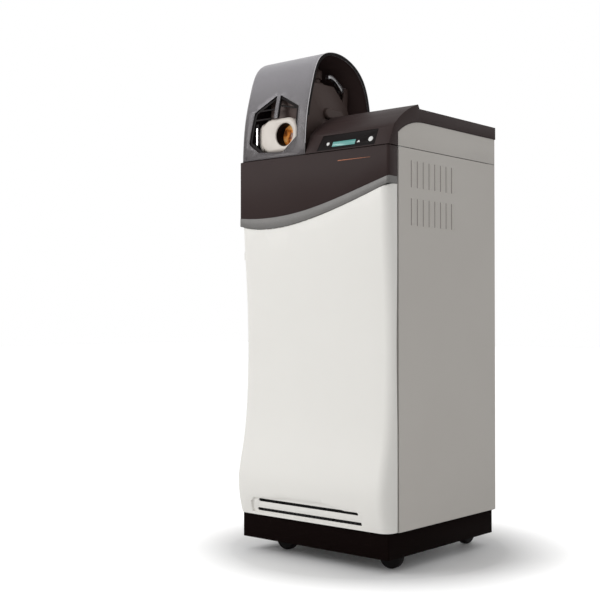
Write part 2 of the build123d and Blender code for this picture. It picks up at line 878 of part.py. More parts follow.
def door_filter():
    """Pleated air filter pad in its frame behind the grille."""
    x0, x1 = (filter_x[0] + filter_border, filter_x[1] - filter_border)
    z0 = door_bottom + door_wall
    z1 = z0 + filter_height
    floor = filter_y + filter_recess
    inner_z = (z0 + filter_border, z1 - filter_border)
    pad = block(filter_x, (filter_y, filter_y + filter_thickness), (z0, z1))
    pad = pad - block((x0, x1), (filter_y - 1, floor), inner_z)
    for i in range(int((x1 - x0) / pleat_pitch)):
        x = x0 + (pleat_pitch - pleat_width) / 2 + i * pleat_pitch
        pad = pad + block((x, x + pleat_width), (floor - pleat_height, floor), inner_z)
    return pad


def door_hinges():
    """Two gooseneck arms on the left post, each with a pin that carries the door."""
    arms = []
    post_face = -half + sheet + tube
    neck_x = post_face + hinge_arm_width
    front = hinge_y - hinge_arm_depth / 2
    for z in hinge_levels:
        top = z - clearance
        low = top - hinge_arm_height
        leg = block((hinge_x - hinge_arm_width / 2, neck_x), (front, front + hinge_arm_depth), (low, top))
        neck = block((post_face, neck_x), (front, front_post_y + tube), (low - hinge_neck_drop, top))
        pin_top = z + hinge_knuckle_height + hinge_pin_end
        pin = rod(hinge_pin_radius, (hinge_x, hinge_y, low), (hinge_x, hinge_y, pin_top))
        arms.append(leg + neck + pin)
    return Compound(children=arms)


# ------------------------------------------------------------------------- chassis
def bars():
    """Every square tube of the chassis, as (x, y, z) ranges."""
    outer = half - sheet
    side = (outer - tube, outer)
    front = (front_post_y, front_post_y + tube)
    rear = (rear_post_y - tube, rear_post_y)
    skin_under = cover_top - moulding
    found = []
    for sign in (-1, 1):
        x = tuple(sorted((sign * side[0], sign * side[1])))
        post_top = front_post_top if sign > 0 else deck_under
        found.append((x, front, (base_top, post_top)))
        found.append((x, rear, (base_top, skin_under)))
        found.append((x, (front[1], rear[0]), (base_top, base_top + tube)))
        found.append((x, (front[1], rear[0]), (shelf_z - tube, shelf_z)))
        low_y = strip_flat_y if sign > 0 else well_rear_y + moulding
        found.append((x, (low_y, rear[0]), (skin_under - tube, skin_under)))
        found.append((x, (front[1], rear[0]), (deck_under - tube, deck_under)))
    cross = (-outer + tube, outer - tube)
    found.append((cross, front, (base_top, base_top + tube)))
    found.append((cross, rear, (base_top, base_top + tube)))
    found.append((cross, front, (deck_under - tube, deck_under)))
    found.append((cross, rear, (skin_under - tube, skin_under)))
    return found


def chassis_frame():
    """Square-tube frame with the electronics shelf, each tube a piece that meets its neighbours."""
    pieces = []
    for spans in bars():
        lengths = [high - low for low, high in spans]
        run = lengths.index(max(lengths))
        inner = [(low + tube_wall, high - tube_wall) for low, high in spans]
        inner[run] = spans[run]
        pieces.append(block(*spans) - block(*inner))
    outer = half - sheet
    across = (-outer + tube, outer - tube)
    front = front_post_y + tube
    under = shelf_z - shelf_thickness
    shelf = block(across, (front, rear_post_y - tube - fan_depth), (under, shelf_z))
    apron = block(across, (front, front + shelf_thickness), (shelf_z - tube, under))
    pieces.append(shelf + apron)
    return Compound(children=pieces)


def source_deck():
    """Plate under the hood that carries the ion source."""
    front = fascia_y + fascia_wall + 2
    return block((-half + deck_inset, well_right_x - 1), (front, well_rear_y - 1), (deck_under, deck_top))


def rear_panel():
    """Steel rear cover punched for fans, inlet, ports and cable entries."""
    front = rear_y - sheet - 1
    back = rear_y + 1
    panel = block((-half, half), (rear_y - sheet, rear_y), (base_top, strip_top))
    for z in fan_levels:
        for i in range(-fan_slot_rows, fan_slot_rows + 1):
            rise = i * fan_slot_pitch
            side = (fan_bore ** 2 - rise ** 2) ** 0.5
            slot = slot_face(fan_x - side, fan_x + side, z + rise, fan_slot_height)
            panel = panel - front_prism(slot, front, back)
    holes = [(foreline_x, foreline_z, foreline_hole), (exhaust_x, exhaust_z, exhaust_hole)]
    for x in gas_places:
        holes.append((x, gas_z, gas_hole))
    for x, z, radius in holes:
        panel = panel - rod(radius, (x, front, z), (x, back, z))
    side = inlet_body[0] / 2 + inlet_fit
    rise = inlet_body[1] / 2 + inlet_fit
    panel = panel - block((inlet_x - side, inlet_x + side), (front, back), (inlet_z - rise, inlet_z + rise))
    side, rise = data_cutout
    return panel - block((data_x - side, data_x + side), (front, back), (data_z - rise, data_z + rise))


# ----------------------------------------------------------------------------- hood
def source_hood():
    """Arched hood, open on its right, with a shield-shaped window and a window spine."""
    outer = side_prism(hood_outline(0), hood_left_x, hood_right_x)
    arch = outer.edges().filter_by(GeomType.BSPLINE).group_by(Axis.X)[0]
    outer = fillet(arch, hood_end_radius)
    inner = side_prism(hood_outline(hood_wall), hood_left_x + hood_wall, hood_right_x + 1)
    arch = inner.edges().filter_by(GeomType.BSPLINE).group_by(Axis.X)[0]
    inner = fillet(arch, hood_end_radius - hood_wall)
    rim = side_prism(hood_outline(hood_wall) - hood_outline(hood_rim), hood_right_x - hood_wall, hood_right_x)
    rim = rim & block((hood_left_x, hood_right_x), (-beyond, beyond), (cover_top, beyond))
    spine = Rectangle(spine_x[1] - spine_x[0], beyond - spine_bottom)
    window = window_area(0) - Pos(sum(spine_x) / 2, (spine_bottom + beyond) / 2) * spine
    hood = (outer - inner) + rim - front_prism(window, -beyond, hood_front_line[3][0])
    hood = hood - block((-beyond, beyond), (-beyond, beyond), (0, hood_bottom))
    hood = hood - block((hood_left_x + hood_wall, beyond), (0, beyond), (0, cover_top - hood_lap))
    y, z = (hood_hinge_y, hood_hinge_z)
    web_y = (hood_front_line[-1][0] - hood_web_lap, y)
    web_z = (z - hood_web_low, z + hood_hinge_barrel)
    for x in hood_hinge_x:
        end = x + hood_hinge_length
        barrel = rod(hood_hinge_barrel, (x, y, z), (end, y, z))
        bore = rod(hood_hinge_pin + shaft_clearance, (x - 1, y, z), (end + 1, y, z))
        hood = hood + barrel + block((x, end), web_y, web_z) - bore
    return hood


def barrel_face(grow):
    """Outline of the shroud round the sight port, in (X, Z), made larger by grow."""
    right = ion_axis_x + barrel_radius
    width = right - barrel_left_x + 2 * grow
    outline = RectangleRounded(width, 2 * (barrel_radius + grow), barrel_corner + grow)
    return Pos((barrel_left_x + right) / 2, ion_axis_z) * outline


def hood_bezel():
    """Black frame behind the window's edge, with bars across the panes and room for the shroud."""
    middle = sum(spine_x) / 2
    top = max(z for x, z in window_outline)
    spine = Rectangle(spine_x[1] - spine_x[0] + bezel_bar, top - spine_bottom)
    bars = Pos(middle, (spine_bottom + top) / 2) * spine
    for level in bezel_bar_levels:
        bars = bars + Pos((hood_left_x + middle) / 2, level) * Rectangle(middle - hood_left_x, bezel_bar)
    (x0, z0), (x1, z1) = bezel_slant_bar
    slant = Rot(0, 0, degrees(atan2(z1 - z0, x1 - x0))) * Rectangle(hypot(x1 - x0, z1 - z0), bezel_bar)
    bars = bars + Pos((x0 + x1) / 2, (z0 + z1) / 2) * slant
    frame = window_area(bezel_lap) - window_area(-bezel_border)
    face = frame + (window_area(0) & bars) - barrel_face(bezel_gap)
    near = hood_wall + bezel_seat
    layer = hood_outline(near) - hood_outline(near + bezel_thickness)
    layer = side_prism(layer, hood_left_x + hood_end_radius, hood_right_x)
    return layer & front_prism(face, -beyond, hood_front_line[3][0])


def hood_hinges():
    """Two saddle brackets on the top cover with the pins that the hood turns on."""
    out = []
    y, z = (hood_hinge_y, hood_hinge_z)
    post_y = (y + hood_post_y[0], y + hood_post_y[1])
    foot_y = (y + hood_foot_y[0], y + hood_foot_y[1])
    for x in hood_hinge_x:
        first = x - hood_foot_reach
        last = x + hood_hinge_length + hood_foot_reach
        saddle = block((first, last), foot_y, (cover_top, cover_top + hood_foot_thickness))
        for x0, x1 in ((first, x - clearance), (x + hood_hinge_length + clearance, last)):
            ear = rod(hood_ear_radius, (x0, y, z), (x1, y, z))
            saddle = saddle + ear + block((x0, x1), post_y, (cover_top, z))
        out.append(saddle + rod(hood_hinge_pin, (first, y, z), (last, y, z)))
    return Compound(children=out)


# ----------------------------------------------------------------------- ion source
def housing_profile(drop):
    """Side outline of the source chamber in (Y, Z), moved in by drop."""
    front = housing_front_y
    rear = housing_rear_y
    face = closed_face((front, deck_top), (front, housing_brow[1]), (housing_brow[0], housing_top),
                       (housing_crown_y, housing_top), housing_heel, (rear, housing_low_z), (rear, deck_top))
    return face if drop == 0 else offset(face, amount=-drop, kind=Kind.INTERSECTION)


def source_housing():
    """Cast ion source chamber with a front port, a rear port, a top port and a side boss."""
    x0, x1 = housing_x
    body = side_prism(housing_profile(0), x0, x1)
    body = fillet(body.edges().filter_by(Axis.Z), housing_corner)
    cavity = side_prism(housing_profile(housing_wall), x0 + housing_wall, x1 - housing_wall)
    front_port = ion_axis_rod(sight_radius, housing_front_y - 1, housing_front_y + housing_wall + 1)
    rear_port = ion_axis_rod(interface_radius, housing_rear_y - housing_wall - 1, housing_rear_y + 1)
    port_foot = housing_top - 3 * housing_wall
    top_port = rod(probe_radius, (ion_axis_x, probe_y, port_foot), (ion_axis_x, probe_y, housing_top + 1))
    body = body - cavity - front_port - rear_port - top_port
    boss = side_prism(Pos(*boss_place) * SlotOverall(boss_length, boss_height), x1, x1 + boss_reach)
    return body + fillet(boss.faces().sort_by(Axis.X)[-1].edges(), boss_reach / 2)


def source_barrel():
    """Cream insulating shroud round the sight port."""
    body = front_prism(barrel_face(0), barrel_front_y, housing_front_y)
    body = fillet(body.faces().sort_by(Axis.Y)[0].edges(), barrel_edge)
    return body - ion_axis_rod(sight_radius, barrel_front_y - 1, housing_front_y + 1)


def sight_glass():
    """Round window inside the front port."""
    return ion_axis_rod(sight_radius, housing_front_y, housing_front_y + glass_thickness)


def heated_interface():
    """Heater block with the inlet cone, from the chamber into the vacuum manifold."""
    end = manifold_y[0]
    section = closed_face((inlet_bore, cone_tip[1]), cone_tip, cone_base, (heater_radius, heater_y[0]),
                          (heater_radius, heater_y[1]), (interface_radius, heater_y[1]),
                          (interface_radius, end), (inlet_bore, end))
    return Pos(ion_axis_x, 0, ion_axis_z) * revolve(section, Axis.Y)


def spray_probe():
    """Spray probe standing in the top port, with a fluted adjusting knob."""
    tip = ion_axis_z + probe_tip_rise
    low = housing_top + knob_levels[0]
    high = housing_top + knob_levels[1]
    top = housing_top + probe_rise
    collar, collar_height = probe_collar
    points = [(radius, tip + rise) for radius, rise in probe_cone]
    points += [(probe_radius, tip + probe_shoulder), (probe_radius, housing_top), (collar, housing_top)]
    points += [(collar, housing_top + collar_height), (probe_neck, housing_top + collar_height + knob_bevel)]
    points += [(probe_neck, low - knob_bevel), (knob_radius, low), (knob_radius, high)]
    points += [(2 * probe_inlet_radius, high + knob_bevel), (probe_inlet_radius, top), (0.0, top)]
    probe = revolve(Plane.XZ * closed_face(*points), Axis.Z)
    for i in range(knob_flutes):
        angle = 2 * pi * i / knob_flutes
        x = knob_radius * cos(angle)
        y = knob_radius * sin(angle)
        probe = probe - rod(flute_radius, (x, y, low - knob_bevel), (x, y, high + 1))
    return Pos(ion_axis_x, probe_y, 0) * probe


def slope_height(y):
    """Height of the chamber's rear slope."""
    share = (y - housing_heel[0]) / (housing_rear_y - housing_heel[0])
    return housing_heel[1] + share * (housing_low_z - housing_heel[1])


def lever_bracket():
    """Fork on the chamber's rear slope that carries the clamp lever's pin."""
    front = housing_heel[0] + lever_foot_inset[0]
    back = housing_rear_y - lever_foot_inset[1]
    side, rise = lever_ear_reach
    cheek = closed_face((front, slope_height(front)), (back, slope_height(back)),
                        (lever_y + side, lever_z + rise), (lever_y - side, lever_z + rise))
    x0 = lever_x[0] - lever_ear
    x1 = lever_x[1] + lever_ear
    cheeks = side_prism(cheek, x0, lever_x[0]) + side_prism(cheek, lever_x[1], x1)
    return cheeks + rod(lever_bore, (x0, lever_y, lever_z), (x1, lever_y, lever_z))


def clamp_lever():
    """Curved hand lever that clamps the chamber, on the bracket's pin."""
    x0 = lever_x[0] + clearance
    x1 = lever_x[1] - clearance
    hub = rod(lever_hub, (x0, lever_y, lever_z), (x1, lever_y, lever_z))
    over = Spline(*[(lever_y + y, lever_z + z) for y, z in lever_over])
    under = Spline(*[(lever_y + y, lever_z + z) for y, z in lever_under])
    edges = [over, Line(over @ 1, under @ 0), under, Line(under @ 1, over @ 0)]
    handle = side_prism(make_face(Curve() + edges), x0, x1)
    bore = rod(lever_bore + shaft_clearance, (x0 - 1, lever_y, lever_z), (x1 + 1, lever_y, lever_z))
    return hub + handle - bore


# -------------------------------------------------------------------- vacuum system
quad_spans = {
    "ion_guide": (62.0, 92.0),
    "quadrupole_first": (97.0, 137.0),
    "collision_cell": (142.0, 172.0),
    "quadrupole_second": (177.0, 217.0),
}


def vacuum_manifold():
    """Machined manifold, open on top, with the front port, the pump port below and the rods' rail."""
    x0, x1 = (manifold_x[0] + manifold_wall, manifold_x[1] - manifold_wall)
    y0, y1 = (manifold_y[0] + manifold_wall, manifold_y[1] - manifold_wall)
    body = block(manifold_x, manifold_y, (manifold_bottom, manifold_top - lid_thickness))
    cavity = block((x0, x1), (y0, y1), (ion_axis_z - manifold_depth, manifold_top))
    well_foot = (ion_axis_x, turbo_axis_y, manifold_bottom - 1)
    well = rod(turbo_radius - pump_well_gap, well_foot, (ion_axis_x, turbo_axis_y, ion_axis_z))
    port = ion_axis_rod(manifold_port, manifold_y[0] - 1, y0 + 1)
    rail_top = ion_axis_z - rail_drop
    rail_x = (ion_axis_x - rail_half, ion_axis_x + rail_half)
    rail = block(rail_x, (y0, y1), (rail_top - rail_thickness, rail_top))
    return body - cavity - well - port + rail


def manifold_lid():
    """Lid over the manifold."""
    lid = block(manifold_x, manifold_y, (manifold_top - lid_thickness, manifold_top))
    return chamfer(lid.faces().sort_by(Axis.Z)[-1].edges(), lid_bevel)


def rod_set(y0, y1):
    """Four parallel rods in two insulating yokes, standing on the manifold's rail."""
    spread = (quad_field_radius + quad_rod_radius) / 2 ** 0.5
    pieces = []
    for x in (ion_axis_x - spread, ion_axis_x + spread):
        for z in (ion_axis_z - spread, ion_axis_z + spread):
            pieces.append(rod(quad_rod_radius, (x, y0, z), (x, y1, z)))
    foot = Pos(ion_axis_x, ion_axis_z - rail_drop + yoke_foot[1] / 2) * Rectangle(*yoke_foot)
    outline = Pos(ion_axis_x, ion_axis_z) * Circle(yoke_radius) + foot
    for y in (y0 + yoke_inset, y1 - yoke_inset - yoke_thickness):
        yoke = front_prism(outline, y, y + yoke_thickness)
        pieces.append(yoke - ion_axis_rod(yoke_bore, y - 1, y + yoke_thickness + 1))
    rods = pieces[0]
    for piece in pieces[1:]:
        rods = rods + piece
    return rods


def detector():
    """Electron multiplier with its input cup, on the manifold's rail."""
    width = (ion_axis_x - detector_half, ion_axis_x + detector_half)
    levels = (ion_axis_z - rail_drop, ion_axis_z + detector_rise)
    body = block(width, (detector_front, manifold_y[1] - manifold_wall), levels)
    return body - ion_axis_rod(detector_cup[0], detector_front - 1, detector_front + detector_cup[1])


def turbo_pump():
    """Turbomolecular pump hung under the manifold by its flange, with the rotor's spindle."""
    top = manifold_bottom
    low = top - turbo_height
    under = top - turbo_flange_thickness
    floor = low + turbo_floor
    tip = low + spindle_top
    inner = turbo_radius - turbo_wall
    section = closed_face((inner, top), (turbo_flange_radius, top), (turbo_flange_radius, under),
                          (turbo_radius, under - turbo_flange_draft), (turbo_radius, low + turbo_taper),
                          (turbo_radius - turbo_taper, low), (0, low), (0, tip), (spindle_radius, tip),
                          (spindle_radius, floor), (inner, floor))
    return Pos(ion_axis_x, turbo_axis_y, 0) * revolve(Plane.XZ * section, Axis.Z)


def turbo_rotor():
    """Bladed rotor stack on the pump's spindle."""
    foot = manifold_bottom - turbo_height + turbo_floor + clearance
    bore = spindle_radius + shaft_clearance
    roof = foot + spindle_top
    points = [(bore, foot), (rotor_core, foot)]
    for i in range(turbo_discs):
        z = foot + rotor_skirt + i * disc_pitch
        low, high, end = [z + rise for rise in disc_edge]
        points += [(rotor_core, z), (turbo_rotor_radius, low), (turbo_rotor_radius, high), (rotor_core, end)]
    top = foot + rotor_skirt + turbo_discs * disc_pitch
    points += [(rotor_core, top), (0.0, top), (0.0, roof), (bore, roof)]
    return Pos(ion_axis_x, turbo_axis_y, 0) * revolve(Plane.XZ * closed_face(*points), Axis.Z)


# ------------------------------------------------------------------- electronics
def power_supply():
    """Folded supply case with cooling slots on the cabinet floor."""
    right = supply_x[1]
    case = block(supply_x, supply_y, (base_top, base_top + supply_height))
    case = fillet(case.edges().filter_by(Axis.Z), supply_corner)
    levels = (base_top + vent_levels[0], base_top + vent_levels[1])
    first = sum(supply_y) / 2 - (vent_count - 1) * vent_pitch / 2
    for i in range(vent_count):
        y = first + i * vent_pitch
        case = case - block((right - vent_depth, right + 1), (y - vent_width / 2, y + vent_width / 2), levels)
    return case


def rf_generator():
    """Finned radio-frequency generator on the shelf."""
    top = shelf_z + generator_height
    case = block(generator_x, generator_y, (shelf_z, top))
    length = (generator_y[0] + fin_inset, generator_y[1] - fin_inset)
    for i in range(fin_count):
        x = generator_x[0] + fin_inset + i * fin_pitch
        case = case + block((x, x + fin_thickness), length, (top, top + fin_height))
    return case


def control_board():
    """Control board on stand-offs behind the rear panel, with its two data sockets."""
    back = rear_y - sheet
    rear = back - board_gap
    front = rear - board_thickness
    x0, x1 = (data_x + board_x[0], data_x + board_x[1])
    z0, z1 = (data_z + board_z[0], data_z + board_z[1])
    board = block((x0, x1), (front, rear), (z0, z1))
    for x in (x0 + standoff_inset, x1 - standoff_inset):
        for z in (z0 + standoff_inset, z1 - standoff_inset):
            board = board + rod(standoff_radius, (x, rear, z), (x, back, z))
    rise = data_socket_height / 2
    wall = data_socket_wall
    for place in data_socket_x:
        x = data_x + place
        end = x + data_socket_width
        body = block((x, end), (rear, rear_y + data_socket_proud), (data_z - rise, data_z + rise))
        mouth = (back - data_socket_depth, rear_y + data_socket_proud + 1)
        body = body - block((x + wall, end - wall), mouth, (data_z - rise + wall, data_z + rise - wall))
        board = board + body
    width, depth, height = chip_size
    for i in range(chip_count):
        x = data_x + chip_start + i * chip_pitch
        board = board + block((x, x + width), (front - depth, front), (data_z, data_z + height))
    return board


# -------------------------------------------------------------------- rear services
def fan_frame(z):
    """Square fan frame with its motor cup, four struts and the rotor's pin."""
    back = rear_y - sheet
    front = back - fan_depth
    cup_front = back - fan_cup
    side = fan_side / 2
    frame = block((fan_x - side, fan_x + side), (front, back), (z - side, z + side))
    frame = fillet(frame.edges().filter_by(Axis.Y), fan_corner)
    frame = frame - rod(fan_bore, (fan_x, front - 1, z), (fan_x, back + 1, z))
    cup = rod(fan_hub, (fan_x, cup_front, z), (fan_x, back, z))
    frame = frame + cup + rod(fan_pin, (fan_x, front + fan_cup, z), (fan_x, cup_front, z))
    for angle in (45, 135, 225, 315):
        strut = block((fan_hub - 2, fan_bore + 2), (cup_front, back), (-fan_strut / 2, fan_strut / 2))
        frame = frame + Pos(fan_x, 0, z) * Rot(0, angle, 0) * strut
    return frame


def fan_rotor(z):
    """Fan hub with swept blades."""
    back = rear_y - sheet
    y0 = back - fan_depth + fan_front_gap
    y1 = back - fan_cup - clearance
    bore = rod(fan_pin + shaft_clearance, (0, y0 + 2, 0), (0, y1 + 1, 0))
    rotor = rod(fan_hub, (0, y0, 0), (0, y1, 0)) - bore
    tip = fan_bore - blade_gap
    blade = Rot(blade_angle, 0, 0) * Box(tip - fan_hub + 2, blade_thickness, blade_chord)
    blade = Pos((tip + fan_hub) / 2, (y0 + y1) / 2, 0) * blade
    for i in range(fan_blades):
        rotor = rotor + Rot(0, 360.0 * i / fan_blades, 0) * blade
    return Pos(fan_x, 0, z) * (rotor & rod(tip, (0, y0, 0), (0, y1, 0)))


def power_inlet():
    """Mains inlet body with its socket and the opening for the rocker."""
    back = rear_y
    front = back + inlet_plate_thickness
    plate = front_prism(Pos(inlet_x, inlet_z) * Rectangle(*inlet_plate), back, front)
    plate = fillet(plate.edges().filter_by(Axis.Y), inlet_corner)
    inlet = plate + front_prism(Pos(inlet_x, inlet_z) * Rectangle(*inlet_body), back - inlet_depth, back)
    low, high = (inlet_z + socket_levels[0], inlet_z + socket_levels[1])
    width = (inlet_x - socket_half, inlet_x + socket_half)
    inlet = inlet - block(width, (back - socket_depth, front + 1), (low, high))
    side = rocker_half + clearance
    levels = (rocker_z - rocker_space, rocker_z + rocker_space)
    inlet = inlet - block((inlet_x - side, inlet_x + side), (back - rocker_depth, front + 1), levels)
    middle = (low + high) / 2
    for x in (inlet_x - pin_pitch, inlet_x, inlet_x + pin_pitch):
        length = (back - socket_depth, back - pin_recess)
        levels = (middle - pin_height / 2, middle + pin_height / 2)
        inlet = inlet + block((x - pin_width / 2, x + pin_width / 2), length, levels)
    y = back - rocker_pivot_depth
    return inlet + rod(rocker_pivot, (inlet_x - side - 1, y, rocker_z), (inlet_x + side + 1, y, rocker_z))


def mains_switch():
    """Rocker on the inlet's pivot."""
    outline = closed_face(*[(rear_y + y, rocker_z + z) for y, z in rocker_outline])
    rocker = side_prism(outline, inlet_x - rocker_half, inlet_x + rocker_half)
    y = rear_y - rocker_pivot_depth
    ends = [(inlet_x + side * (rocker_half + 1), y, rocker_z) for side in (-1, 1)]
    return rocker - rod(rocker_pivot + shaft_clearance, *ends)


def foreline_port():
    """Vacuum foreline with its clamp flange, from the pump's side to the rear."""
    outer = foreline_bore + foreline_wall
    start = rear_y - foreline_inside
    collar, collar_height = foreline_collar
    end = rear_reach
    section = closed_face((foreline_bore, start), (outer, start), (outer, rear_y), (collar, rear_y),
                          (collar, rear_y + collar_height), (outer, rear_y + collar_height),
                          (outer, end - 2 * foreline_draft), (foreline_flange, end - foreline_draft),
                          (foreline_flange, end), (foreline_bore, end))
    return Pos(foreline_x, 0, foreline_z) * revolve(section, Axis.Y)


def exhaust_port():
    """Barbed exhaust outlet of the ion source."""
    collar, height = exhaust_collar
    start = rear_y - exhaust_inside
    points = [(exhaust_bore, start), (exhaust_radius, start), (exhaust_radius, rear_y), (collar, rear_y)]
    points += [(collar, rear_y + height), (exhaust_neck, rear_y + height)]
    for i in range(barb_count):
        y = rear_y + (i + 1) * barb_pitch
        points += [(exhaust_neck, y), (exhaust_radius, y), (exhaust_neck, y + barb_length)]
    points.append((exhaust_bore, points[-1][1]))
    return Pos(exhaust_x, 0, exhaust_z) * revolve(closed_face(*points), Axis.Y)


def hexagon(x, y, size, facing=1):
    """Hexagonal nut at a gas fitting, facing the rear or, at -1, the front."""
    radius, height = size
    seat = Plane(origin=(x, y, gas_z), x_dir=(1, 0, 0), z_dir=(0, facing, 0))
    return extrude(seat * RegularPolygon(radius, 6), amount=height)


def gas_fittings():
    """Two bulkhead compression fittings for nitrogen and collision gas."""
    out = []
    end = rear_y + gas_nut[1] + gas_nose[1]
    for x in gas_places:
        body = rod(gas_body, (x, rear_y - gas_inside, gas_z), (x, rear_y, gas_z))
        body = body + hexagon(x, rear_y, gas_nut) + hexagon(x, rear_y + gas_nut[1], gas_nose)
        body = body + hexagon(x, rear_y - sheet, gas_lock, -1)
        out.append(body - rod(gas_bore, (x, rear_y - gas_inside - 1, gas_z), (x, end + 1, gas_z)))
    return Compound(children=out)


# -------------------------------------------------------------------------- writing
nodes = {
    "base_frame": base_frame(),
    "caster_plates": caster_plates(),
    "chassis_frame": chassis_frame(),
    "source_deck": source_deck(),
    "side_panel_right": side_panel(),
    "side_panel_left": mirrored(side_panel()),
    "upper_side_right": upper_side(),
    "upper_side_left": upper_side_left(),
    "top_cover": top_cover(),
    "front_fascia": front_fascia(),
    "trim_band": trim_band(),
    "rear_panel": rear_panel(),
    "front_door": front_door(),
    "door_inner_panel": door_inner_panel(),
    "door_filter": door_filter(),
    "door_hinges": door_hinges(),
    "control_bezel": control_bezel(),
    "display": display(),
    "button_menu": button(menu_x, menu_run, menu_radius),
    "button_power": button(power_x, power_run, power_radius),
    "source_hood": source_hood(),
    "hood_bezel": hood_bezel(),
    "hood_hinges": hood_hinges(),
    "source_housing": source_housing(),
    "source_barrel": source_barrel(),
    "sight_glass": sight_glass(),
    "heated_interface": heated_interface(),
    "spray_probe": spray_probe(),
    "lever_bracket": lever_bracket(),
    "clamp_lever": clamp_lever(),
    "vacuum_manifold": vacuum_manifold(),
    "manifold_lid": manifold_lid(),
    "detector": detector(),
    "turbo_pump": turbo_pump(),
    "turbo_rotor": turbo_rotor(),
    "power_supply": power_supply(),
    "rf_generator": rf_generator(),
    "control_board": control_board(),
    "power_inlet": power_inlet(),
    "mains_switch": mains_switch(),
    "foreline_port": foreline_port(),
    "exhaust_port": exhaust_port(),
    "gas_fittings": gas_fittings(),
}
for name, (y0, y1) in quad_spans.items():
    nodes[name] = rod_set(y0, y1)
for name, z in zip(("lower", "upper"), fan_levels):
    nodes["fan_frame_" + name] = fan_frame(z)
    nodes["fan_rotor_" + name] = fan_rotor(z)
for name, place in caster_places.items():
    nodes["caster_fork_" + name] = caster_fork(place)
    nodes["caster_wheel_" + name] = caster_wheel(place)

os.makedirs("parts", exist_ok=True)
for name, shape in nodes.items():
    export_step(shape, "parts/" + name + ".step")
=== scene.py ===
"""Dresses the floor-standing mass spectrometer with its finishes and fine trim."""

import logging
import math
from dataclasses import dataclass, field
from enum import Enum
from typing import Callable, Mapping, Optional, Sequence, Union

import bmesh
import bpy
from mathutils import Euler, Matrix, Vector


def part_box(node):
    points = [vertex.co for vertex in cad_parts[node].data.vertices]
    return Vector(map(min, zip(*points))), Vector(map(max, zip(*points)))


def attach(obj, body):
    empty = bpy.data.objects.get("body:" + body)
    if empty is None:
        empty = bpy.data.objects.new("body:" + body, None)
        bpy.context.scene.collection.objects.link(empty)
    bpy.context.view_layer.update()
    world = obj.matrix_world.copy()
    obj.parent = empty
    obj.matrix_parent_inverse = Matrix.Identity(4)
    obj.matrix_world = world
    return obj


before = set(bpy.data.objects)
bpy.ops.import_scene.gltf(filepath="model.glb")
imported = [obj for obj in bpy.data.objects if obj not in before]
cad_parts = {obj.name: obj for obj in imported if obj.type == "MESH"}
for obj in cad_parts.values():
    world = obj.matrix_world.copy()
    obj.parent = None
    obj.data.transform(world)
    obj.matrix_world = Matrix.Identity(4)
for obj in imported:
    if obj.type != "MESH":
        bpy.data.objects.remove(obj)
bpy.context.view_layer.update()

log = logging.getLogger("mass_spectrometer")

MM = 0.001
Point = tuple[float, float]
Colour = tuple[float, float, float]
Value = Union["Socket", float, int]
Shape = bmesh.types.BMesh
Face = bmesh.types.BMFace
BLACK: Colour = (0.0, 0.0, 0.0)
WHITE: Colour = (1.0, 1.0, 1.0)
FRONT_SEAT = Matrix(((1, 0, 0, 0), (0, 0, 1, 0), (0, 1, 0, 0), (0, 0, 0, 1)))


def linear(level: float) -> float:
    """Linear value of one display value of 0 to 1."""
    return level / 12.92 if level <= 0.04045 else ((level + 0.055) / 1.055) ** 2.4


def srgb(red: int, green: int, blue: int) -> Colour:
    """Linear colour from display values of 0 to 255."""
    return tuple(linear(v / 255.0) for v in (red, green, blue))


def scaled(colour: Colour, share: float) -> Colour:
    """Colour with each part multiplied."""
    return tuple(c * share for c in colour)


def turn(angle: float, radius: float = 1.0) -> Point:
    """Flat point at an angle, in radians, on a circle."""
    return radius * math.cos(angle), radius * math.sin(angle)


def mm(*values: float) -> Vector:
    """Point given in millimetres, in metres."""
    return Vector([v * MM for v in values])


# ------------------------------------------------------------------- shader maths
class Socket:
    """Wraps a shader socket, so that arithmetic on it adds Math nodes."""

    def __init__(self, graph: "Graph", socket: bpy.types.NodeSocket) -> None:
        """Keeps the socket and the graph that it belongs to.

        Args:
            graph: The graph that new nodes are added to.
            socket: An output socket of one of its nodes.
        """
        self.graph = graph
        self.socket = socket

    def _join(self, operation: str, first: Value, second: Value) -> "Socket":
        """Adds one Math node.

        Args:
            operation: The node's operation.
            first: Its first value.
            second: Its second value.

        Returns:
            The node's output.
        """
        return self.graph.add("ShaderNodeMath", {"operation": operation}, {0: first, 1: second})

    def __add__(self, other: Value) -> "Socket":
        """Sum."""
        return self._join("ADD", self, other)

    def __radd__(self, other: Value) -> "Socket":
        """Sum, reflected."""
        return self._join("ADD", other, self)

    def __sub__(self, other: Value) -> "Socket":
        """Difference."""
        return self._join("SUBTRACT", self, other)

    def __rsub__(self, other: Value) -> "Socket":
        """Difference, reflected."""
        return self._join("SUBTRACT", other, self)

    def __mul__(self, other: Value) -> "Socket":
        """Product."""
        return self._join("MULTIPLY", self, other)

    def __rmul__(self, other: Value) -> "Socket":
        """Product, reflected."""
        return self._join("MULTIPLY", other, self)

    def __truediv__(self, other: Value) -> "Socket":
        """Quotient."""
        return self._join("DIVIDE", self, other)

    def __rtruediv__(self, other: Value) -> "Socket":
        """Quotient, reflected."""
        return self._join("DIVIDE", other, self)

    def above(self, level: Value) -> "Socket":
        """One where this is greater than level, otherwise zero."""
        return self._join("GREATER_THAN", self, level)

    def largest(self, other: Value) -> "Socket":
        """The larger of the two."""
        return self._join("MAXIMUM", self, other)

    def clamped(self) -> "Socket":
        """This, kept between 0 and 1."""
        return self.graph.add("ShaderNodeClamp", sockets={0: self})


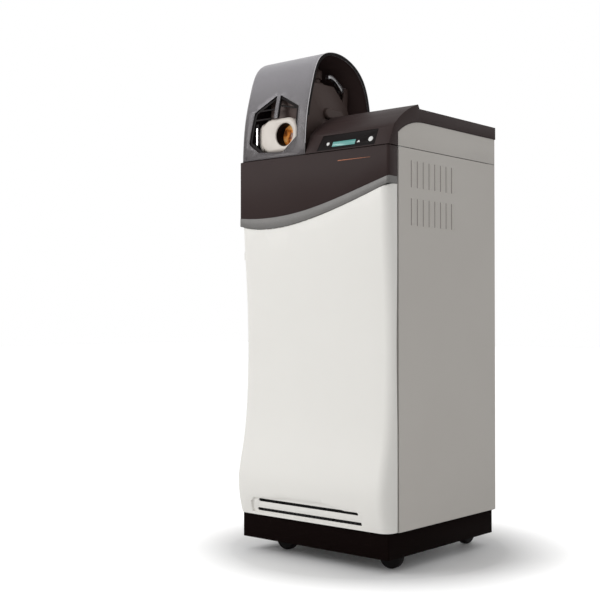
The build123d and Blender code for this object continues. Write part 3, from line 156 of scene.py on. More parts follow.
class Graph:
    """One material's or world's node tree."""

    def __init__(self, owner: Union[bpy.types.Material, bpy.types.World]) -> None:
        """Empties the owner's node tree.

        Args:
            owner: The material or the world that is given nodes.
        """
        owner.use_nodes = True
        self.tree = owner.node_tree
        self.tree.nodes.clear()

    def add(
        self,
        kind: str,
        settings: Optional[Mapping[str, object]] = None,
        sockets: Optional[Mapping[Union[str, int], object]] = None,
        output: Union[str, int] = 0,
    ) -> Socket:
        """Adds any node.

        Args:
            kind: The node's type.
            settings: Properties set before the sockets; "stops" holds a ramp's stops.
            sockets: Values or links of its input sockets, by name or place.
            output: The output socket that is wanted.

        Returns:
            That output, wrapped.
        """
        node = self.tree.nodes.new(kind)
        for key, setting in (settings or {}).items():
            if key == "stops":
                self._stops(node.color_ramp, setting)
            else:
                setattr(node, key, setting)
        for key, value in (sockets or {}).items():
            self._feed(node.inputs[key], value)
        if not node.outputs:
            return Socket(self, None)
        return Socket(self, node.outputs[output])

    def _feed(self, target: bpy.types.NodeSocket, value: object) -> None:
        """Links or sets one input socket.

        Args:
            target: The input socket.
            value: A wrapped socket, a number, a colour or a vector.
        """
        if isinstance(value, Socket):
            self.tree.links.new(value.socket, target)
        elif target.type == "RGBA":
            target.default_value = (*value, 1.0) if len(value) == 3 else value
        else:
            target.default_value = value

    @staticmethod
    def _stops(ramp: bpy.types.ColorRamp, stops: Sequence[tuple[float, Colour]]) -> None:
        """Sets a ramp's stops.

        Args:
            ramp: The ramp.
            stops: Pairs of place and colour, in order.
        """
        while len(ramp.elements) < len(stops):
            ramp.elements.new(0.5)
        for element, (place, colour) in zip(ramp.elements, stops):
            element.position = place
            element.color = (*colour, 1.0)

    def place(self) -> Socket:
        """The point in the object's own space, in metres."""
        return self.add("ShaderNodeTexCoord", output="Object")

    def axis(self, which: str) -> Socket:
        """One coordinate of the point in the object's own space."""
        return self.add("ShaderNodeSeparateXYZ", sockets={0: self.place()}, output=which)

    def stretched(self, scale: Sequence[float]) -> Socket:
        """The point, scaled by a different amount along each axis.

        Args:
            scale: The three factors.

        Returns:
            The scaled point.
        """
        sockets = {0: self.place(), 1: tuple(scale)}
        return self.add("ShaderNodeVectorMath", {"operation": "MULTIPLY"}, sockets)

    def noise(
        self, scale: float, detail: float = 2.0, vector: Optional[Socket] = None, roughness: float = 0.5
    ) -> Socket:
        """Noise from 0 to 1.

        Args:
            scale: Waves per metre.
            detail: Octaves.
            vector: Where it is read, if not at the point.
            roughness: Weight of the finer octaves.

        Returns:
            The noise.
        """
        sockets = {"Vector": vector or self.place(), "Scale": scale, "Detail": detail, "Roughness": roughness}
        return self.add("ShaderNodeTexNoise", sockets=sockets)

    def blend(self, share: Value, first: object, second: object) -> Socket:
        """Colour mixed from two.

        Args:
            share: How much of the second.
            first: Colour at 0.
            second: Colour at 1.

        Returns:
            The mixed colour.
        """
        return self.add("ShaderNodeMix", {"data_type": "RGBA"}, {0: share, 6: first, 7: second}, output=2)

    def bump(self, height: Socket, strength: float, distance: float) -> Socket:
        """Normal raised by a height.

        Args:
            height: Height from 0 to 1.
            strength: Share of the effect.
            distance: Height of 1, in metres.

        Returns:
            The normal.
        """
        sockets = {"Strength": strength, "Distance": distance, "Height": height}
        return self.add("ShaderNodeBump", sockets=sockets)

    def surface(self, shader: Socket) -> None:
        """Links a shader to the output."""
        self.add("ShaderNodeOutputMaterial", sockets={"Surface": shader})

    def principled(self, sockets: Mapping[Union[str, int], object]) -> Socket:
        """Principled shader with the given sockets."""
        return self.add("ShaderNodeBsdfPrincipled", sockets=sockets)


# ---------------------------------------------------------------------- finishes
@dataclass(frozen=True)
class Finish:
    """What every finish has: a name and a way to make its material."""

    name: str

    def material(self) -> bpy.types.Material:
        """Makes the finish's material on first use.

        Returns:
            The material.
        """
        title = f"look_{self.name}"
        found = bpy.data.materials.get(title)
        if found:
            return found
        made = bpy.data.materials.new(title)
        graph = Graph(made)
        graph.surface(self.shader(graph))
        return made

    def shader(self, graph: Graph) -> Socket:
        """Builds the shader; each kind of finish has its own."""
        raise NotImplementedError


@dataclass(frozen=True)
class Coating(Finish):
    """Paint or moulded plastic with a fine texture and slight unevenness."""

    colour: Colour = (0.8, 0.8, 0.8)
    shade: Colour = (0.7, 0.7, 0.7)
    roughness: float = 0.45
    metallic: float = 0.0
    coat: float = 0.0
    coat_roughness: float = 0.12
    specular: float = 0.5
    grain: float = 1500.0
    relief: float = 0.1
    flake: float = 0.0
    flake_level: float = 0.62
    flake_pitch: float = 2.2
    flake_light: float = 2.2
    depth: float = 0.08 * MM
    cloud: float = 3.0

    def tint(self, graph: Graph) -> Socket:
        """Colour with slight unevenness."""
        return graph.blend(graph.noise(self.cloud, 3.0), self.colour, self.shade)

    def shader(self, graph: Graph) -> Socket:
        """Principled shader with grain, cloudiness and, for metallic paint, flake.

        Args:
            graph: The material's graph.

        Returns:
            The shader.
        """
        cloud = graph.noise(self.cloud, 3.0)
        fine = graph.noise(self.grain, 2.0)
        colour = self.tint(graph)
        if self.flake:
            speck = graph.noise(self.grain * self.flake_pitch, 0.0).above(self.flake_level) * self.flake
            lit = tuple(min(1.0, c * self.flake_light + 0.05) for c in self.colour)
            colour = graph.blend(speck, colour, lit)
        sockets = {
            "Base Color": colour,
            "Roughness": self.roughness - 0.05 + 0.07 * cloud + 0.05 * fine,
            "Metallic": self.metallic,
            "Specular IOR Level": self.specular,
            "Coat Weight": self.coat,
            "Coat Roughness": self.coat_roughness,
            "Normal": graph.bump(fine, self.relief, self.depth),
        }
        return graph.principled(sockets)


@dataclass(frozen=True)
class HeightShaded(Coating):
    """Paint whose colour turns from one at its foot to another higher up, as painted shade and sheen: darker
    below, lighter above.
    """

    # Painted shade: the dark colour at the foot.
    foot: Colour = (0.1, 0.1, 0.1)
    span: tuple[float, float] = (0.0, 1.0)

    def tint(self, graph: Graph) -> Socket:
        """Painted shade: colour that darkens towards the foot, following the height over the floor."""
        rise = ((graph.axis("Z") - self.span[0]) / (self.span[1] - self.span[0])).clamped()
        return graph.blend(rise * rise, self.foot, super().tint(graph))


@dataclass(frozen=True)
class Brushed(Finish):
    """Bare metal with fine lines along one axis and faint handling marks."""

    colour: Colour = (0.7, 0.7, 0.7)
    roughness: float = 0.3
    along: tuple[float, float, float] = (1.0, 30.0, 30.0)
    grain: float = 60.0
    relief: float = 0.12

    def shader(self, graph: Graph) -> Socket:
        """Metallic shader with stretched noise in its roughness and bump.

        Args:
            graph: The material's graph.

        Returns:
            The shader.
        """
        lines = graph.noise(self.grain, 4.0, graph.stretched(self.along), 0.7)
        marks = graph.noise(7.0, 3.0)
        dark = scaled(self.colour, 0.8)
        colour = graph.blend(0.6 * lines + 0.3 * marks, self.colour, dark)
        sockets = {
            "Base Color": colour,
            "Roughness": self.roughness + 0.16 * lines + 0.08 * marks - 0.1,
            "Metallic": 1.0,
            "Normal": graph.bump(lines, self.relief, 0.0001),
        }
        return graph.principled(sockets)


@dataclass(frozen=True)
class Glow(Finish):
    """Lit surface, such as a display, with a fine pattern in its brightness."""

    colour: Colour = (0.5, 0.8, 0.8)
    strength: float = 1.0
    pitch: float = 900.0

    def shader(self, graph: Graph) -> Socket:
        """Glossy face with emission broken by a faint cell pattern.

        Args:
            graph: The material's graph.

        Returns:
            The shader.
        """
        sockets = {"Vector": graph.place(), "Scale": self.pitch}
        cells = graph.add("ShaderNodeTexVoronoi", {"distance": "CHEBYCHEV"}, sockets)
        cloud = graph.noise(18.0)
        dark = scaled(self.colour, 0.72)
        colour = graph.blend(0.35 * cells + 0.5 * cloud, self.colour, dark)
        sockets = {
            "Base Color": scaled(self.colour, 0.25),
            "Roughness": 0.12 + 0.05 * cloud,
            "Emission Color": colour,
            "Emission Strength": self.strength,
        }
        return graph.principled(sockets)


@dataclass(frozen=True)
class ClearGlass(Finish):
    """Thin smoked glass, dark on the left and orange on the right, with painted glow and highlights for the
    orange part seen inside the bore.
    """

    tint: Colour = (0.9, 0.6, 0.3)
    centre: float = -0.152

    def shader(self, graph: Graph) -> Socket:
        """Glossy see-through shader, tinted and glowing on the right of its centre: painted light.

        Args:
            graph: The material's graph.

        Returns:
            The shader.
        """
        cloud = graph.noise(48.0, 4.0)
        side = graph.axis("X") - self.centre
        glow_side = (60.0 * side + 1.4 * (cloud - 0.42)).clamped()
        orange_ramp = graph.add(
            "ShaderNodeValToRGB",
            {"stops": [(0.36, srgb(104, 58, 30)), (0.48, self.tint), (0.62, srgb(232, 178, 108))]},
            {0: cloud},
        )
        sockets = {
            "Base Color": graph.blend(glow_side, srgb(34, 27, 25), orange_ramp),
            "Roughness": 0.12 + 0.1 * cloud,
            "Specular IOR Level": 0.3,
            "Emission Color": graph.blend(glow_side, BLACK, orange_ramp),
            "Emission Strength": 0.28,
            "Alpha": 0.72 + 0.25 * glow_side,
        }
        return graph.principled(sockets)


@dataclass(frozen=True)
class Heated(Finish):
    """Metal tinted by heat, from straw to orange, with a faint painted glow."""

    colour: Colour = (0.75, 0.38, 0.1)
    glow: float = 0.5

    def shader(self, graph: Graph) -> Socket:
        """Warm metallic shader whose colour wanders with noise and which glows a little, as painted light.

        Args:
            graph: The material's graph.

        Returns:
            The shader.
        """
        cloud = graph.noise(55.0, 4.0)
        orange_ramp = graph.add(
            "ShaderNodeValToRGB",
            {"stops": [(0.32, srgb(120, 66, 26)), (0.5, self.colour), (0.68, srgb(236, 190, 104))]},
            {0: cloud},
        )
        sockets = {
            "Base Color": orange_ramp,
            "Roughness": 0.28 + 0.2 * cloud,
            "Metallic": 0.7,
            "Emission Color": orange_ramp,
            "Emission Strength": self.glow,
            "Normal": graph.bump(cloud, 0.3, 0.0004),
        }
        return graph.principled(sockets)


@dataclass(frozen=True)
class Pleated(Finish):
    """Dark filter cloth with fine threads."""

    colour: Colour = (0.03, 0.03, 0.03)
    pitch: float = 260.0

    def shader(self, graph: Graph) -> Socket:
        """Rough shader with a crossed thread pattern.

        Args:
            graph: The material's graph.

        Returns:
            The shader.
        """
        threads = {"Vector": graph.place(), "Scale": self.pitch}
        warp = graph.add("ShaderNodeTexWave", {"bands_direction": "X"}, threads, 1)
        weft = graph.add("ShaderNodeTexWave", {"bands_direction": "Z"}, threads, 1)
        thread = 0.5 * warp + 0.5 * weft
        sockets = {
            "Base Color": graph.blend(thread, self.colour, scaled(self.colour, 2.4)),
            "Roughness": 0.9 - 0.1 * thread,
            "Normal": graph.bump(thread, 0.6, 0.0004),
        }
        return graph.principled(sockets)


@dataclass(frozen=True)
class Circuit(Finish):
    """Circuit board with pads and tracks."""

    colour: Colour = (0.02, 0.12, 0.05)

    def shader(self, graph: Graph) -> Socket:
        """Lacquered board whose tracks follow a blocky cell pattern.

        Args:
            graph: The material's graph.

        Returns:
            The shader.
        """
        cell = graph.add(
            "ShaderNodeTexVoronoi",
            {"feature": "DISTANCE_TO_EDGE"},
            {"Vector": graph.stretched((1.0, 1.0, 2.0)), "Scale": 120.0},
        )
        track = 1.0 - cell.above(0.08)
        sockets = {
            "Base Color": graph.blend(track, self.colour, srgb(150, 118, 44)),
            "Roughness": 0.35 - 0.1 * track,
            "Metallic": 0.8 * track,
            "Coat Weight": 0.5,
            "Normal": graph.bump(track, 0.3, 0.0001),
        }
        return graph.principled(sockets)


class Finishes(Enum):
    """Every finish on the instrument."""

    DOOR_WHITE = Coating(
        "door_white", srgb(240, 238, 233), srgb(235, 233, 228), 0.44, specular=0.35, grain=1400.0,
    )
    # Partly painted shade: the covers' own off-white is only a little darker than the door's; the rest of
    # this darkening stands in for the shade that falls on the sides.
    SIDE_COVER_SHADED = Coating(
        "side_grey", srgb(201, 197, 191), srgb(195, 190, 184), 0.55, specular=0.3, grain=1600.0, relief=0.2,
    )
    BROWN = Coating("brown_moulding", srgb(55, 43, 42), srgb(48, 37, 36), 0.5, specular=0.12, relief=0.25)
    BAND = Coating(
        "band_silver", srgb(118, 116, 114), srgb(106, 105, 103), 0.42, metallic=0.2, specular=0.3,
        grain=2200.0, relief=0.08, flake=0.2,
    )
    # The hood's paint is even; its dark foot and lighter head are painted shade and sheen.
    HOOD = HeightShaded(
        "hood_metallic", srgb(156, 154, 158), srgb(148, 146, 150), 0.38, metallic=0.2, coat=0.1,
        specular=0.2, grain=2400.0, relief=0.05, flake=0.3, foot=srgb(42, 35, 34), span=(1.13, 1.46),
    )
    BLACK_GLOSS = Coating(
        "black_gloss", srgb(24, 19, 19), srgb(18, 14, 14), 0.36, specular=0.06, grain=800.0, relief=0.03,
    )
    # Partly painted shade: the skirt is dark, and it is set near black for the deep shade under the cabinet.
    SKIRT = Coating("skirt_black", srgb(18, 10, 9), srgb(14, 8, 7), 0.7, specular=0.02, grain=1300.0)
    FRAME = Coating("frame_paint", srgb(150, 152, 154), srgb(140, 142, 145), 0.5, grain=900.0, relief=0.3)
    SOURCE = Coating(
        "source_lacquer", srgb(86, 71, 67), srgb(74, 61, 57), 0.45, metallic=0.1, specular=0.2, grain=700.0,
        relief=0.3,
    )
    # Partly painted shade: the hood's inside and the source deck take this dark colour for the shade within
    # the arch.
    LINING = Coating(
        "hood_lining", srgb(92, 76, 74), srgb(78, 64, 62), 0.6, specular=0.1, grain=900.0, relief=0.2,
    )
    CREAM = Coating(
        "shroud_cream", srgb(214, 206, 198), srgb(204, 195, 186), 0.34, specular=0.4, grain=600.0,
        relief=0.08,
    )
    BUTTON = Coating("button_white", srgb(232, 232, 230), srgb(222, 222, 220), 0.3, relief=0.05)
    INSULATOR = Coating(
        "insulator_white", srgb(236, 232, 224), srgb(226, 221, 211), 0.35, coat=0.3, grain=500.0,
    )
    FAN = Coating(
        "fan_black", srgb(30, 30, 31), srgb(24, 24, 25), 0.5, specular=0.2, grain=900.0, relief=0.25,
    )
    WHEEL = Coating(
        "wheel_black", srgb(28, 26, 26), srgb(22, 20, 20), 0.65, specular=0.1, grain=700.0, relief=0.35,
    )
    # Painted highlight: the bright line on the hood's rounded front edge.
    EDGE_HIGHLIGHT = Brushed("edge_bright", srgb(196, 194, 196), 0.34, (1.0, 20.0, 20.0), 60.0)
    # Painted shade: the dark line at the front edge of each louvre.
    LOUVRE_SHADE = Coating("crease_grey", srgb(128, 119, 117), srgb(121, 112, 110), 0.7, specular=0.1)
    ACCENT = Coating("accent_copper", srgb(150, 84, 44), srgb(128, 70, 38), 0.4, metallic=0.3, relief=0.05)
    MARK = Coating("mark_white", srgb(236, 236, 234), srgb(226, 226, 224), 0.5, relief=0.05)
    ZINC = Brushed("zinc_plate", srgb(190, 190, 186), 0.38, (20.0, 1.0, 20.0), 40.0)
    ALUMINIUM = Brushed("machined_aluminium", srgb(206, 206, 208), 0.32, (1.0, 24.0, 24.0), 50.0)
    STEEL = Brushed("stainless", srgb(196, 195, 192), 0.22, (24.0, 1.0, 24.0), 60.0)
    # Painted highlight: the bright stripe on the window's glossy left bevel.
    RAIL_HIGHLIGHT = Brushed("bright_trim", srgb(240, 240, 238), 0.14, (1.0, 20.0, 1.0), 40.0, 0.03)
    BRASS = Brushed("brass", srgb(205, 170, 98), 0.3, (20.0, 1.0, 20.0), 50.0)
    DISPLAY = Glow("display_teal", srgb(108, 176, 170), 0.62, 1400.0)
    PILOT = Glow("pilot_lamp", srgb(120, 112, 108), 0.25, 1400.0)
    # Painted light: the glass glows orange, with lighter patches, on the right of its centre.
    GLASS = ClearGlass("sight_glass", srgb(208, 122, 50))
    # Painted glow: the heated interface is no lamp but glows at strength 0.35.
    HEATER = Heated("heated_metal", srgb(206, 120, 40), 0.35)
    CLOTH = Pleated("filter_cloth", srgb(34, 33, 33))
    BOARD = Circuit("circuit_board", srgb(26, 84, 48))


FINISHED_NODES: dict[Finishes, tuple[str, ...]] = {
    Finishes.SKIRT: ("base_frame",),
    Finishes.FRAME: ("chassis_frame",),
    Finishes.LINING: ("source_deck",),
    Finishes.SIDE_COVER_SHADED: ("side_panel_", "upper_side_", "rear_panel"),
    Finishes.BROWN: ("top_cover", "front_fascia"),
    Finishes.BAND: ("trim_band",),
    Finishes.DOOR_WHITE: ("front_door",),
    Finishes.CLOTH: ("door_filter",),
    Finishes.BLACK_GLOSS: ("control_bezel", "hood_bezel"),
    Finishes.DISPLAY: ("display",),
    Finishes.BUTTON: ("button_",),
    Finishes.HOOD: ("source_hood",),
    Finishes.SOURCE: ("source_housing", "spray_probe", "lever_bracket"),
    Finishes.CREAM: ("source_barrel",),
    Finishes.GLASS: ("sight_glass",),
    Finishes.HEATER: ("heated_interface",),
    Finishes.ALUMINIUM: (
        "clamp_lever", "vacuum_manifold", "manifold_lid", "turbo_pump", "turbo_rotor", "rf_generator",
    ),
    Finishes.STEEL: ("ion_guide", "quadrupole_", "foreline_port"),
    Finishes.INSULATOR: ("collision_cell", "detector"),
    Finishes.ZINC: (
        "caster_plates", "caster_fork_", "door_inner_panel", "door_hinges", "hood_hinges", "power_supply",
    ),
    Finishes.BOARD: ("control_board",),
    Finishes.FAN: ("power_inlet", "mains_switch", "fan_frame_", "fan_rotor_"),
    Finishes.BRASS: ("exhaust_port", "gas_fittings"),
    Finishes.WHEEL: ("caster_wheel_",),
}


# ----------------------------------------------------------------- mesh building
@dataclass
class Sculptor:
    """Makes, finishes and seats every piece that is added to the model."""

    made: list[str] = field(default_factory=list)

    def piece(
        self,
        name: str,
        shape: Shape,
        finish: Finishes,
        body: str,
        slot: str,
        smooth: float = 35.0,
        bevel: float = 0.0,
        keep_normals: bool = False,
    ) -> bpy.types.Object:
        """Turns a mesh under construction into a dressed piece.

        Args:
            name: The piece's name.
            shape: The mesh, in metres.
            finish: Its finish.
            body: The body that it rides on.
            slot: The record's material slot; not used.
            smooth: Edges sharper than this many degrees stay sharp.
            bevel: Width of the rounding on its sharp edges, in metres.
            keep_normals: Leaves the faces looking where they look, for an open skin.

        Returns:
            The new object.
        """
        if not keep_normals:
            bmesh.ops.recalc_face_normals(shape, faces=shape.faces)
        made = placed(name, shape)
        made.data.materials.append(finish.value.material())
        if bevel:
            round_edges(made, bevel)
        soften(made, smooth)
        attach(made, body)
        self.made.append(name)
        log.info("made %s, which rides on %s", name, body)
        return made


def placed(name: str, shape: Shape) -> bpy.types.Object:
    """Puts a mesh under construction into the scene.

    Args:
        name: The object's name.
        shape: The mesh, which is used up.

    Returns:
        The new object.
    """
    mesh = bpy.data.meshes.new(name)
    shape.to_mesh(mesh)
    shape.free()
    made = bpy.data.objects.new(name, mesh)
    bpy.context.scene.collection.objects.link(made)
    return made


def soften(target: bpy.types.Object, degrees: float) -> None:
    """Shades an object smooth except at edges sharper than degrees."""
    target.data.shade_smooth()
    target.data.set_sharp_from_angle(angle=math.radians(degrees))


def round_edges(target: bpy.types.Object, width: float, segments: int = 2) -> None:
    """Rounds an object's sharp edges with a bevel.

    Args:
        target: The object.
        width: Width of the rounding, in metres.
        segments: Faces across it.
    """
    weld = target.modifiers.new("weld", "WELD")
    weld.merge_threshold = 0.02 * MM
    bevel = target.modifiers.new("rounding", "BEVEL")
    bevel.width = width
    bevel.segments = segments
    bevel.limit_method = "ANGLE"
    bevel.angle_limit = math.radians(40.0)
    bevel.harden_normals = True
    bevel.use_clamp_overlap = True


def facets(node: str, wanted: Callable[[Face], bool]) -> Shape:
    """Copies the faces of a modelled node that pass a test.

    Args:
        node: The node's name.
        wanted: Tells whether a face is kept.

    Returns:
        A mesh of the kept faces, with shared points joined.
    """
    shape = bmesh.new()
    shape.from_mesh(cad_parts[node].data)
    bmesh.ops.remove_doubles(shape, verts=shape.verts, dist=0.002 * MM)
    shape.normal_update()
    dropped = [f for f in shape.faces if not wanted(f)]
    bmesh.ops.delete(shape, geom=dropped, context="FACES")
    return shape


def bridge(
    shape: Shape,
    low: Sequence[bmesh.types.BMVert],
    high: Sequence[bmesh.types.BMVert],
    closed: bool = True,
) -> None:
    """Joins two rows of points with faces.

    Args:
        shape: The mesh that they belong to.
        low: One row.
        high: The other row, as long.
        closed: Whether the rows are rings.
    """
    count = len(low)
    for k in range(count if closed else count - 1):
        after = (k + 1) % count
        shape.faces.new((low[k], low[after], high[after], high[k]))


def capped(shape: Shape, rings: Sequence[Sequence[bmesh.types.BMVert]]) -> Shape:
    """Skins a stack of rings and closes both ends.

    Args:
        shape: The mesh that the rings belong to.
        rings: The rings, in order.

    Returns:
        The same mesh.
    """
    for low, high in zip(rings, rings[1:]):
        bridge(shape, low, high)
    shape.faces.new(rings[0])
    shape.faces.new(rings[-1])
    return shape


def tube_along(points: Sequence[Vector], radius: float, sides: int = 8) -> Shape:
    """Round bar along a line of points, closed at both ends.

    Args:
        points: The line, in metres.
        radius: The bar's radius, in metres.
        sides: Faces around it.

    Returns:
        Its mesh.
    """
    shape = bmesh.new()
    rings = []
    across, up = Vector((1.0, 0.0, 0.0)), Vector((0.0, 0.0, 1.0))
    for i, point in enumerate(points):
        along = (points[min(i + 1, len(points) - 1)] - points[max(i - 1, 0)]).normalized()
        side = along.cross(across) if abs(along.dot(across)) < 0.9 else along.cross(up)
        side.normalize()
        over = along.cross(side)
        turns = [turn(2 * math.pi * k / sides) for k in range(sides)]
        rings.append([shape.verts.new(point + radius * (a * side + b * over)) for a, b in turns])
    return capped(shape, rings)


def slab(outline: Sequence[Point], low: float, high: float, seat: Matrix) -> Shape:
    """Plate with a given outline.

    Args:
        outline: Its corners, in millimetres, on the seat's plane.
        low: Its lower face's height over the plane, in millimetres.
        high: Its upper face's height.
        seat: Places the plane, in metres.

    Returns:
        Its mesh.
    """
    shape = bmesh.new()
    return capped(shape, [[shape.verts.new(seat @ mm(x, y, z)) for x, y in outline] for z in (low, high)])


def dome_head(radius: float, height: float, socket: float, seat: Matrix, sides: int = 24) -> Shape:
    """Screw head: a low dome with a hexagonal socket.

    Args:
        radius: Its radius, in millimetres.
        height: Its height, in millimetres.
        socket: Radius of the socket, in millimetres.
        seat: Places its foot, in metres, with local Z pointing out.
        sides: Faces around it.

    Returns:
        Its mesh.
    """
    profile = [
        (radius, 0.0),
        (radius, 0.35 * height),
        (0.82 * radius, 0.78 * height),
        (0.6 * radius, height),
        (socket, height),
        (socket, 0.4 * height),
    ]
    shape = bmesh.new()
    rings = []
    for reach, rise in profile:
        ring = []
        for k in range(sides):
            angle = 2 * math.pi * k / sides
            flat = reach
            if reach == socket:
                flat = socket * math.cos(math.pi / 6) / math.cos((angle % (math.pi / 3)) - math.pi / 6)
            ring.append(shape.verts.new(seat @ mm(*turn(angle, flat), rise)))
        rings.append(ring)
    return capped(shape, rings)


def outer_line(points: Sequence[Point]) -> list[Point]:
    """Upper side of the convex outline round flat points.

    Args:
        points: The points, as (across, up).

    Returns:
        The outline's corners from the lowest across to the highest.
    """
    line: list[Point] = []
    for point in sorted(set(points)):
        while len(line) > 1:
            (x0, z0), (x1, z1) = line[-2:]
            if (x1 - x0) * (point[1] - z0) - (z1 - z0) * (point[0] - x0) < 0:
                break
            line.pop()
        line.append(point)
    return line


def even_steps(points: Sequence[Point], step: float) -> list[Point]:
    """Places at even distances along a line of points.

    Args:
        points: The line.
        step: Distance between places.

    Returns:
        The places, from the line's first point to its last.
    """
    places = [points[0]]
    left = step
    for first, last in zip(points, points[1:]):
        length = math.dist(first, last)
        gone = 0.0
        while length - gone > left:
            gone += left
            share = gone / length
            places.append((first[0] + share * (last[0] - first[0]), first[1] + share * (last[1] - first[1])))
            left = step
        left -= length - gone
    places.append(points[-1])
    return places


# ------------------------------------------------------------------ sub-assemblies
@dataclass
class CarriedNodes:
    """The modelled nodes whose shape is right and that only need their finish."""

    rounding: float = 0.7 * MM
    sharpest: float = 30.0
    plain: tuple[str, ...] = ("side_panel_right", "side_panel_left", "rear_panel")

    def dress(self) -> None:
        """Gives each node its material, smooth shading and rounded edges."""
        for name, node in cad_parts.items():
            finish = self.finish_of(name)
            node.data.materials.clear()
            node.data.materials.append(finish.value.material())
            soften(node, self.sharpest)
            if name not in self.plain:
                round_edges(node, self.rounding)
            log.info("dressed %s with %s", name, finish.value.name)

    @staticmethod
    def finish_of(name: str) -> Finishes:
        """The finish whose list holds the start of a node's name."""
        return next(finish for finish, starts in FINISHED_NODES.items() if name.startswith(starts))


@dataclass
class SightPort:
    """Dark sleeve in the shroud's bore and the collar on the shroud's left."""

    sculptor: Sculptor
    sleeve: tuple[float, float] = (33.9, 32.2)
    sleeve_set_back: float = 4.0
    sides: int = 96
    collar_left: float = -229.0
    collar_right: float = -196.0
    collar_rise: float = 45.0
    collar_depth: float = -250.0
    collar_back: float = -232.0
    collar_rows: int = 10
    collar_steps: int = 24
    neck_width: float = 0.35
    neck_rise: float = 0.72

    def build(self) -> None:
        """Builds the sleeve and the collar."""
        low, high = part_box("sight_glass")
        middle = (low + high) / 2 / MM
        front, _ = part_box("source_barrel")
        self.ring(middle, front.y / MM + self.sleeve_set_back, low.y / MM)
        self.collar(middle)

    def ring(self, middle: Vector, front: float, back: float) -> None:
        """Builds the sleeve as an open tube.

        Args:
            middle: The glass's middle, in millimetres.
            front: The sleeve's front end.
            back: Its rear end, at the glass.
        """
        outer, inner = self.sleeve
        profile = [(outer, front), (inner, front), (inner, back), (outer, back)]
        shape = bmesh.new()
        rings = []
        for k in range(self.sides):
            a, b = turn(2 * math.pi * k / self.sides)
            rings.append([shape.verts.new(mm(middle.x + r * a, y, middle.z + r * b)) for r, y in profile])
        for k in range(self.sides):
            bridge(shape, rings[k], rings[(k + 1) % self.sides])
        self.sculptor.piece("sight_port_sleeve", shape, Finishes.BLACK_GLOSS, "cabinet", "source_dark")

    def collar(self, middle: Vector) -> None:
        """Builds the domed collar that widens the shroud to its left.

        Args:
            middle: The glass's middle, in millimetres.
        """
        shape = bmesh.new()
        grid = []
        reach = self.collar_right - self.collar_left
        for i in range(self.collar_rows + 1):
            ahead, share = turn(math.pi / 2 * i / self.collar_rows)
            width = reach * (self.neck_width + (1.0 - self.neck_width) * share)
            rise = self.collar_rise * (self.neck_rise + (1.0 - self.neck_rise) * share)
            y = self.collar_back + (self.collar_depth - self.collar_back) * ahead
            line = []
            for k in range(self.collar_steps + 1):
                a, b = turn(math.pi / 2 + math.pi * k / self.collar_steps)
                line.append(shape.verts.new(mm(self.collar_right + width * a, y, middle.z + rise * b)))
            grid.append(line)
        for low, high in zip(grid, grid[1:]):
            bridge(shape, low, high, closed=False)
        shape.faces.new(grid[0])
        shape.faces.new(grid[-1])
        shape.faces.new([line[0] for line in grid] + [line[-1] for line in reversed(grid)])
        self.sculptor.piece("shroud_collar", shape, Finishes.CREAM, "cabinet", "shroud_cream", 50.0)


@dataclass
class HoodTrim:
    """Dark lining inside the hood, partly painted shade, black trim on its open end and a bright bead along
    it, a painted highlight.
    """

    sculptor: Sculptor
    skin: float = 0.4 * MM
    trim: float = 0.3 * MM
    bead: float = 0.9 * MM
    bead_set_back: float = 0.4 * MM
    foot: float = 6.0 * MM
    step: float = 6.0 * MM
    heart: float = 0.45
    low: Vector = field(init=False)
    high: Vector = field(init=False)

    def __post_init__(self) -> None:
        """Reads the hood's place."""
        self.low, self.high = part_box("source_hood")

    def build(self) -> None:
        """Builds the three pieces."""
        self.lining()
        self.end_trim()
        self.highlight_bead()

    def _inside(self, face: Face) -> bool:
        """Whether a face of the hood looks into it.

        Args:
            face: A face of the hood's mesh.

        Returns:
            True on the inner side of its arch and of its closed end.
        """
        centre = face.calc_center_median()
        if abs(face.normal.x) > 0.9:
            return face.normal.x > 0.0 and centre.x < self.low.x + 5.0 * MM
        height = self.low.z + self.heart * (self.high.z - self.low.z)
        outward = Vector((0.0, centre.y - (self.low.y + self.high.y) / 2, centre.z - height))
        near_end = centre.x > self.high.x - 4.0 * MM
        return face.normal.dot(outward.normalized()) < -0.45 and not near_end

    def _on_open_end(self, face: Face) -> bool:
        """Whether a face of the hood is its open end's flat edge."""
        return face.normal.x > 0.95 and face.calc_center_median().x > self.high.x - 1.0 * MM

    def lining(self) -> None:
        """Lines the hood's inner side with a dark skin, partly painted shade inside the arch."""
        shape = facets("source_hood", self._inside)
        for vert in shape.verts:
            vert.co += self.skin * vert.normal
        lining = Finishes.LINING
        self.sculptor.piece("hood_lining", shape, lining, "hood", "source_dark", keep_normals=True)

    def end_trim(self) -> None:
        """Covers the open end's edge with a black strip."""
        shape = facets("source_hood", self._on_open_end)
        made = bmesh.ops.extrude_face_region(shape, geom=list(shape.faces))
        for item in made["geom"]:
            if isinstance(item, bmesh.types.BMVert):
                item.co.x += self.trim
        self.sculptor.piece("hood_end_trim", shape, Finishes.BLACK_GLOSS, "hood", "gloss_black")

    def highlight_bead(self) -> None:
        """Runs a bright bead along the outer edge of the open end: a painted highlight on that rounded edge.
        """
        places = [vert.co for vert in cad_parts["source_hood"].data.vertices]
        end = [p for p in places if p.x > self.high.x - 0.5 * MM and p.z > self.low.z + self.foot]
        outline = outer_line([(point.y, point.z) for point in end])
        x = self.high.x - self.bead_set_back
        line = [Vector((x, y, z)) for y, z in even_steps(outline, self.step)]
        bead = tube_along(line, self.bead)
        self.sculptor.piece("hood_edge_bead", bead, Finishes.EDGE_HIGHLIGHT, "hood", "band_silver")


